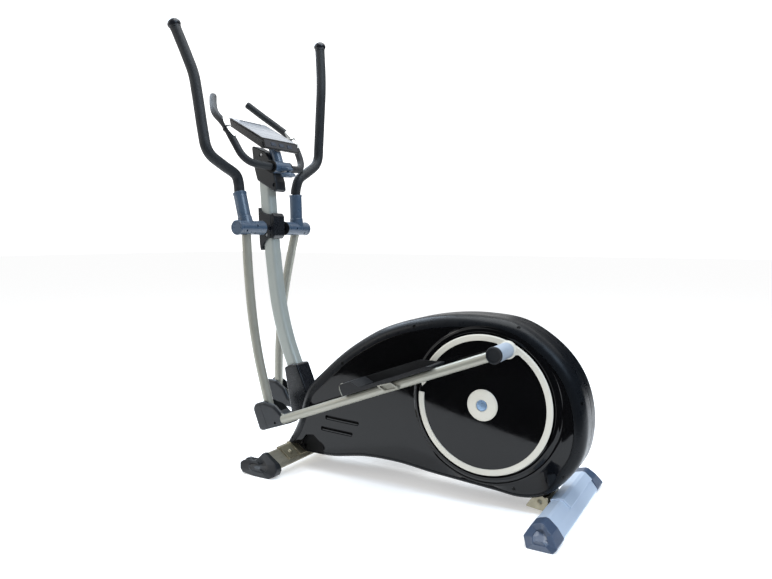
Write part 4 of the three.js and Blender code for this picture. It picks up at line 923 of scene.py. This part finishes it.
for side_name, side in SIDES.items():
    at, body = RAIL[side_name], "rail_" + side_name + "_body"
    y = lambda value: side * value
    points = [(x, y(188), axis_z(x)) for x in np.linspace(-850, -8, 24)]
    lug = slab(rounded([(-915, 20), (-846, -10), (-790, -12), (-790, -34), (-846, -38),
                        (-915, -20), (-944, -14), (-950, 0), (-944, 14)], 6), y(167), y(177), 1)
    pin = lathe([(0, 127), (15, 127), (15, 131), (9, 132), (9, 170), (0, 170)], -RAIL_LENGTH, 0,
                side, 32)
    piece("rail_tube_" + side_name, [tube(points, 15.5, 48, (3.5, 0)), lug, pin], at, SILVER,
          body, replaces=["rail_" + side_name],
          cuts=[lathe(drum(23, 160, 215), 0, 0, side, 48)])
    piece("rail_sleeve_" + side_name, [lathe([
        (20.6, 108), (23.6, 108), (24.5, 109), (24.5, 206.6), (23.6, 208), (20.6, 208)], 0, 0,
        side, 64, ring=True)], at, SLEEVE_SKIN, body)
    piece("sleeve_end_" + side_name, [lathe([
        (0, 208.3), (25.2, 208.3), (25.7, 209.2), (25.7, 212.6), (24.8, 214.6), (23.2, 215),
        (21.6, 214.4), (20.8, 212), (18, 211.4), (0, 211.6)], 0, 0, side, 64)], at, PLASTIC,
        body, replaces=["sleeve_cap_" + side_name])
    bracket = rounded([(-418, 6), (-363, 3), (-335, -23), (-394, -21)], 3)
    hole = rounded([(-408, 1), (-366, -1.6), (-347, -18.4), (-391, -16.4)], 2)
    piece("pedal_bracket_" + side_name, [slab(bracket, y(200), y(212.6), 1)], at, SILVER, body,
          cuts=[slab(hole, y(205.5), y(220))])
    tray = at @ Matrix.Rotation(-math.atan2(RAIL_DROP, RAIL_LENGTH), 4, "Y")
    base = 15.9
    outline = [(-556, base, 5), (-212, base, 2), (-206, base + 8, 3), (-226, base + 14, 6),
               (-288, base + 37, 12), (-400, base + 39, 20), (-540, base + 40, 12),
               (-556, base + 42, 8)]
    deck = base + 7
    well = rounded([(-480, deck), (-228, deck), (-222, deck + 6), (-486, deck + 6)], 1)
    above = [(-482, deck + 5.5), (-190, deck + 5.5), (-190, 90), (-510, 90), (-510, base + 43),
             (-504, base + 36)]
    ribs = [slab(rounded([(x, deck - 1), (x + 4, deck - 1), (x + 3, deck + 1.6),
                          (x + 1, deck + 1.6)], 0.6, 2), y(121), y(204), 0.6)
            for x in range(-466, -236, 14)]
    piece("pedal_tray_" + side_name, [slab(rounded(outline, 6), y(110), y(213), 2, 3)], tray,
          RUBBER, body, replaces=["pedal_" + side_name],
          cuts=[slab(well, y(117), y(207)), slab(above, y(117), y(222))])
    piece("pedal_ribs_" + side_name, ribs, tray, RUBBER, body)
    edge = spline([(-554.6, y(212.6), base + 3), (-556.6, y(212.6), base + 16),
                   (-556.6, y(212.2), base + 30), (-552, y(210.6), base + 39),
                   (-540, y(210.4), base + 41)], 24)
    piece("pedal_trim_" + side_name, [tube(edge, 1.5, 12, (1, 1))], tray, SILVER, body)
    cover = [(u - RAIL_LENGTH, v, r) for u, v, r in COVER]
    throat = [(-958, -26), (-904, -26), (-860, 10), (-840, 90), (-990, 90), (-990, 20)]
    u = -RAIL_LENGTH - 4
    seam = slab([(u - 0.6, -60), (u + 0.6, -60), (u - 9.4, 70), (u - 10.6, 70)], y(165), y(190))
    piece("joint_shell_" + side_name, [slab(rounded(cover, 8, 9), y(119), y(181), 13, 7)], at,
          PLASTIC, body, replaces=["joint_cover_" + side_name],
          cuts=[slab(throat, y(130.5), y(169)), tube(points[:6], 16.0, 32),
                spin(drum(4.6, 172, 190), (-RAIL_LENGTH + 34, 0, -30),
                     (0, side, 0), 24), seam])

# ------ camera, floor and light
scene = bpy.context.scene
# the photo's camera, from a fit
YAW, PITCH, ROLL = (math.radians(a) for a in (29.79, 4.42, 0.1))
forward = Vector((-math.sin(YAW) * math.cos(PITCH), math.cos(YAW) * math.cos(PITCH),
                  -math.sin(PITCH)))
right = Vector((math.cos(YAW), math.sin(YAW), 0))
up = right.cross(forward)
right, up = (math.cos(ROLL) * right + math.sin(ROLL) * up,
             math.cos(ROLL) * up - math.sin(ROLL) * right)
camera = bpy.data.objects.new("camera", bpy.data.cameras.new("camera"))
scene.collection.objects.link(camera)
eye = Vector((PIVOT.x + 1.65444, -2.01627, 0.84739))
camera.matrix_world = Matrix(((right.x, up.x, -forward.x, eye.x),
                              (right.y, up.y, -forward.y, eye.y),
                              (right.z, up.z, -forward.z, eye.z), (0, 0, 0, 1)))
FOCAL_PIXELS, IMAGE_WIDTH, SENSOR = 665.26, 772, 36
camera.data.sensor_width = SENSOR
camera.data.lens = FOCAL_PIXELS * SENSOR / IMAGE_WIDTH
camera.data.clip_end = 60
scene.camera = camera


def sheet_object(name, corners, material):
    """Floor or reflection card, which isn't part of the object."""
    mesh = bpy.data.meshes.new(name)
    mesh.from_pydata([Vector(c) for c in corners], [], [tuple(range(len(corners)))])
    obj = bpy.data.objects.new(name, mesh)
    obj.data.materials.append(material)
    scene.collection.objects.link(obj)
    return obj


FLOOR = surface("studio_floor", (236, 236, 236), 0.8, vary=0.01, specular=0.0)
shader = FLOOR.node_tree.nodes["Principled BSDF"]
shader.inputs["Emission Color"].default_value = (1, 1, 1, 1)
shader.inputs["Emission Strength"].default_value = 0.3
FLAG = surface("studio_flag", (10, 10, 10), 0.9, specular=0.0)
sheet_object("floor", [(-30, -30, 0), (30, -30, 0), (30, 30, 0), (-30, 30, 0)], FLOOR)
ends = (Vector((PIVOT.x - 2.6, -2.752, 0)), Vector((PIVOT.x + 2.6, 0.151, 0)))
flag = sheet_object("dark_flag", [ends[0], ends[1], ends[1] + Vector((0, 0, 2.5)),
                                  ends[0] + Vector((0, 0, 2.5))], FLAG)
shade = sheet_object("side_flag", [(3.4, -2.5, 0.01), (3.4, 4.5, 0.01), (3.4, 4.5, 3.4),
                                   (3.4, -2.5, 3.4)], FLAG)
behind = sheet_object("back_flag", [(3.4, 3.2, 0.01), (-1.4, 6.4, 0.01), (-1.4, 6.4, 2.6),
                                    (3.4, 3.2, 2.6)], FLAG)
for card in (flag, shade, behind):
    for reach in ("camera", "shadow", "transmission"):
        setattr(card, "visible_" + reach, False)
flag.visible_diffuse = behind.visible_diffuse = False


def area(name, at, toward, size, power, colour=(1, 1, 1)):
    data = bpy.data.lights.new(name, "AREA")
    data.shape, data.size, data.size_y = "RECTANGLE", size[0], size[1]
    data.energy, data.color = power, colour
    obj = bpy.data.objects.new(name, data)
    obj.location = at
    obj.rotation_euler = (Vector(toward) - Vector(at)).to_track_quat("-Z", "Y").to_euler()
    scene.collection.objects.link(obj)


area("top_soft", (0.2, 0.2, 3.4), (0, 0, 0.4), (3.2, 2.4), 85, (0.93, 0.97, 1.0))
area("right_cool", (2.6, -0.6, 2.9), (0.3, 0, 0.2), (1.2, 1.2), 62, (0.6, 0.78, 1.0))
area("left_sky", (-2.4, 0.9, 2.9), (-0.1, 0, 0.5), (2.4, 1.6), 70, (0.72, 0.85, 1.0))
area("left_warm", (-2.6, -2.4, 2.2), (0, 0, 0.7), (1.8, 1.8), 24, (1.0, 0.97, 0.92))
world = bpy.data.worlds.new("studio")
world.use_nodes = True
nodes, link = world.node_tree.nodes, world.node_tree.links.new
backdrop, lighting = nodes["Background"], nodes.new("ShaderNodeBackground")
for node, strength in ((backdrop, 1.3), (lighting, 0.62)):
    node.inputs["Color"].default_value = (1, 1, 1, 1)
    node.inputs["Strength"].default_value = strength
either = nodes.new("ShaderNodeMixShader")
link(nodes.new("ShaderNodeLightPath").outputs["Is Camera Ray"], either.inputs[0])
link(lighting.outputs[0], either.inputs[1])
link(backdrop.outputs[0], either.inputs[2])
link(either.outputs[0], nodes["World Output"].inputs["Surface"])
scene.world = world
scene.view_settings.view_transform = "Standard"
scene.view_settings.exposure = 0.25
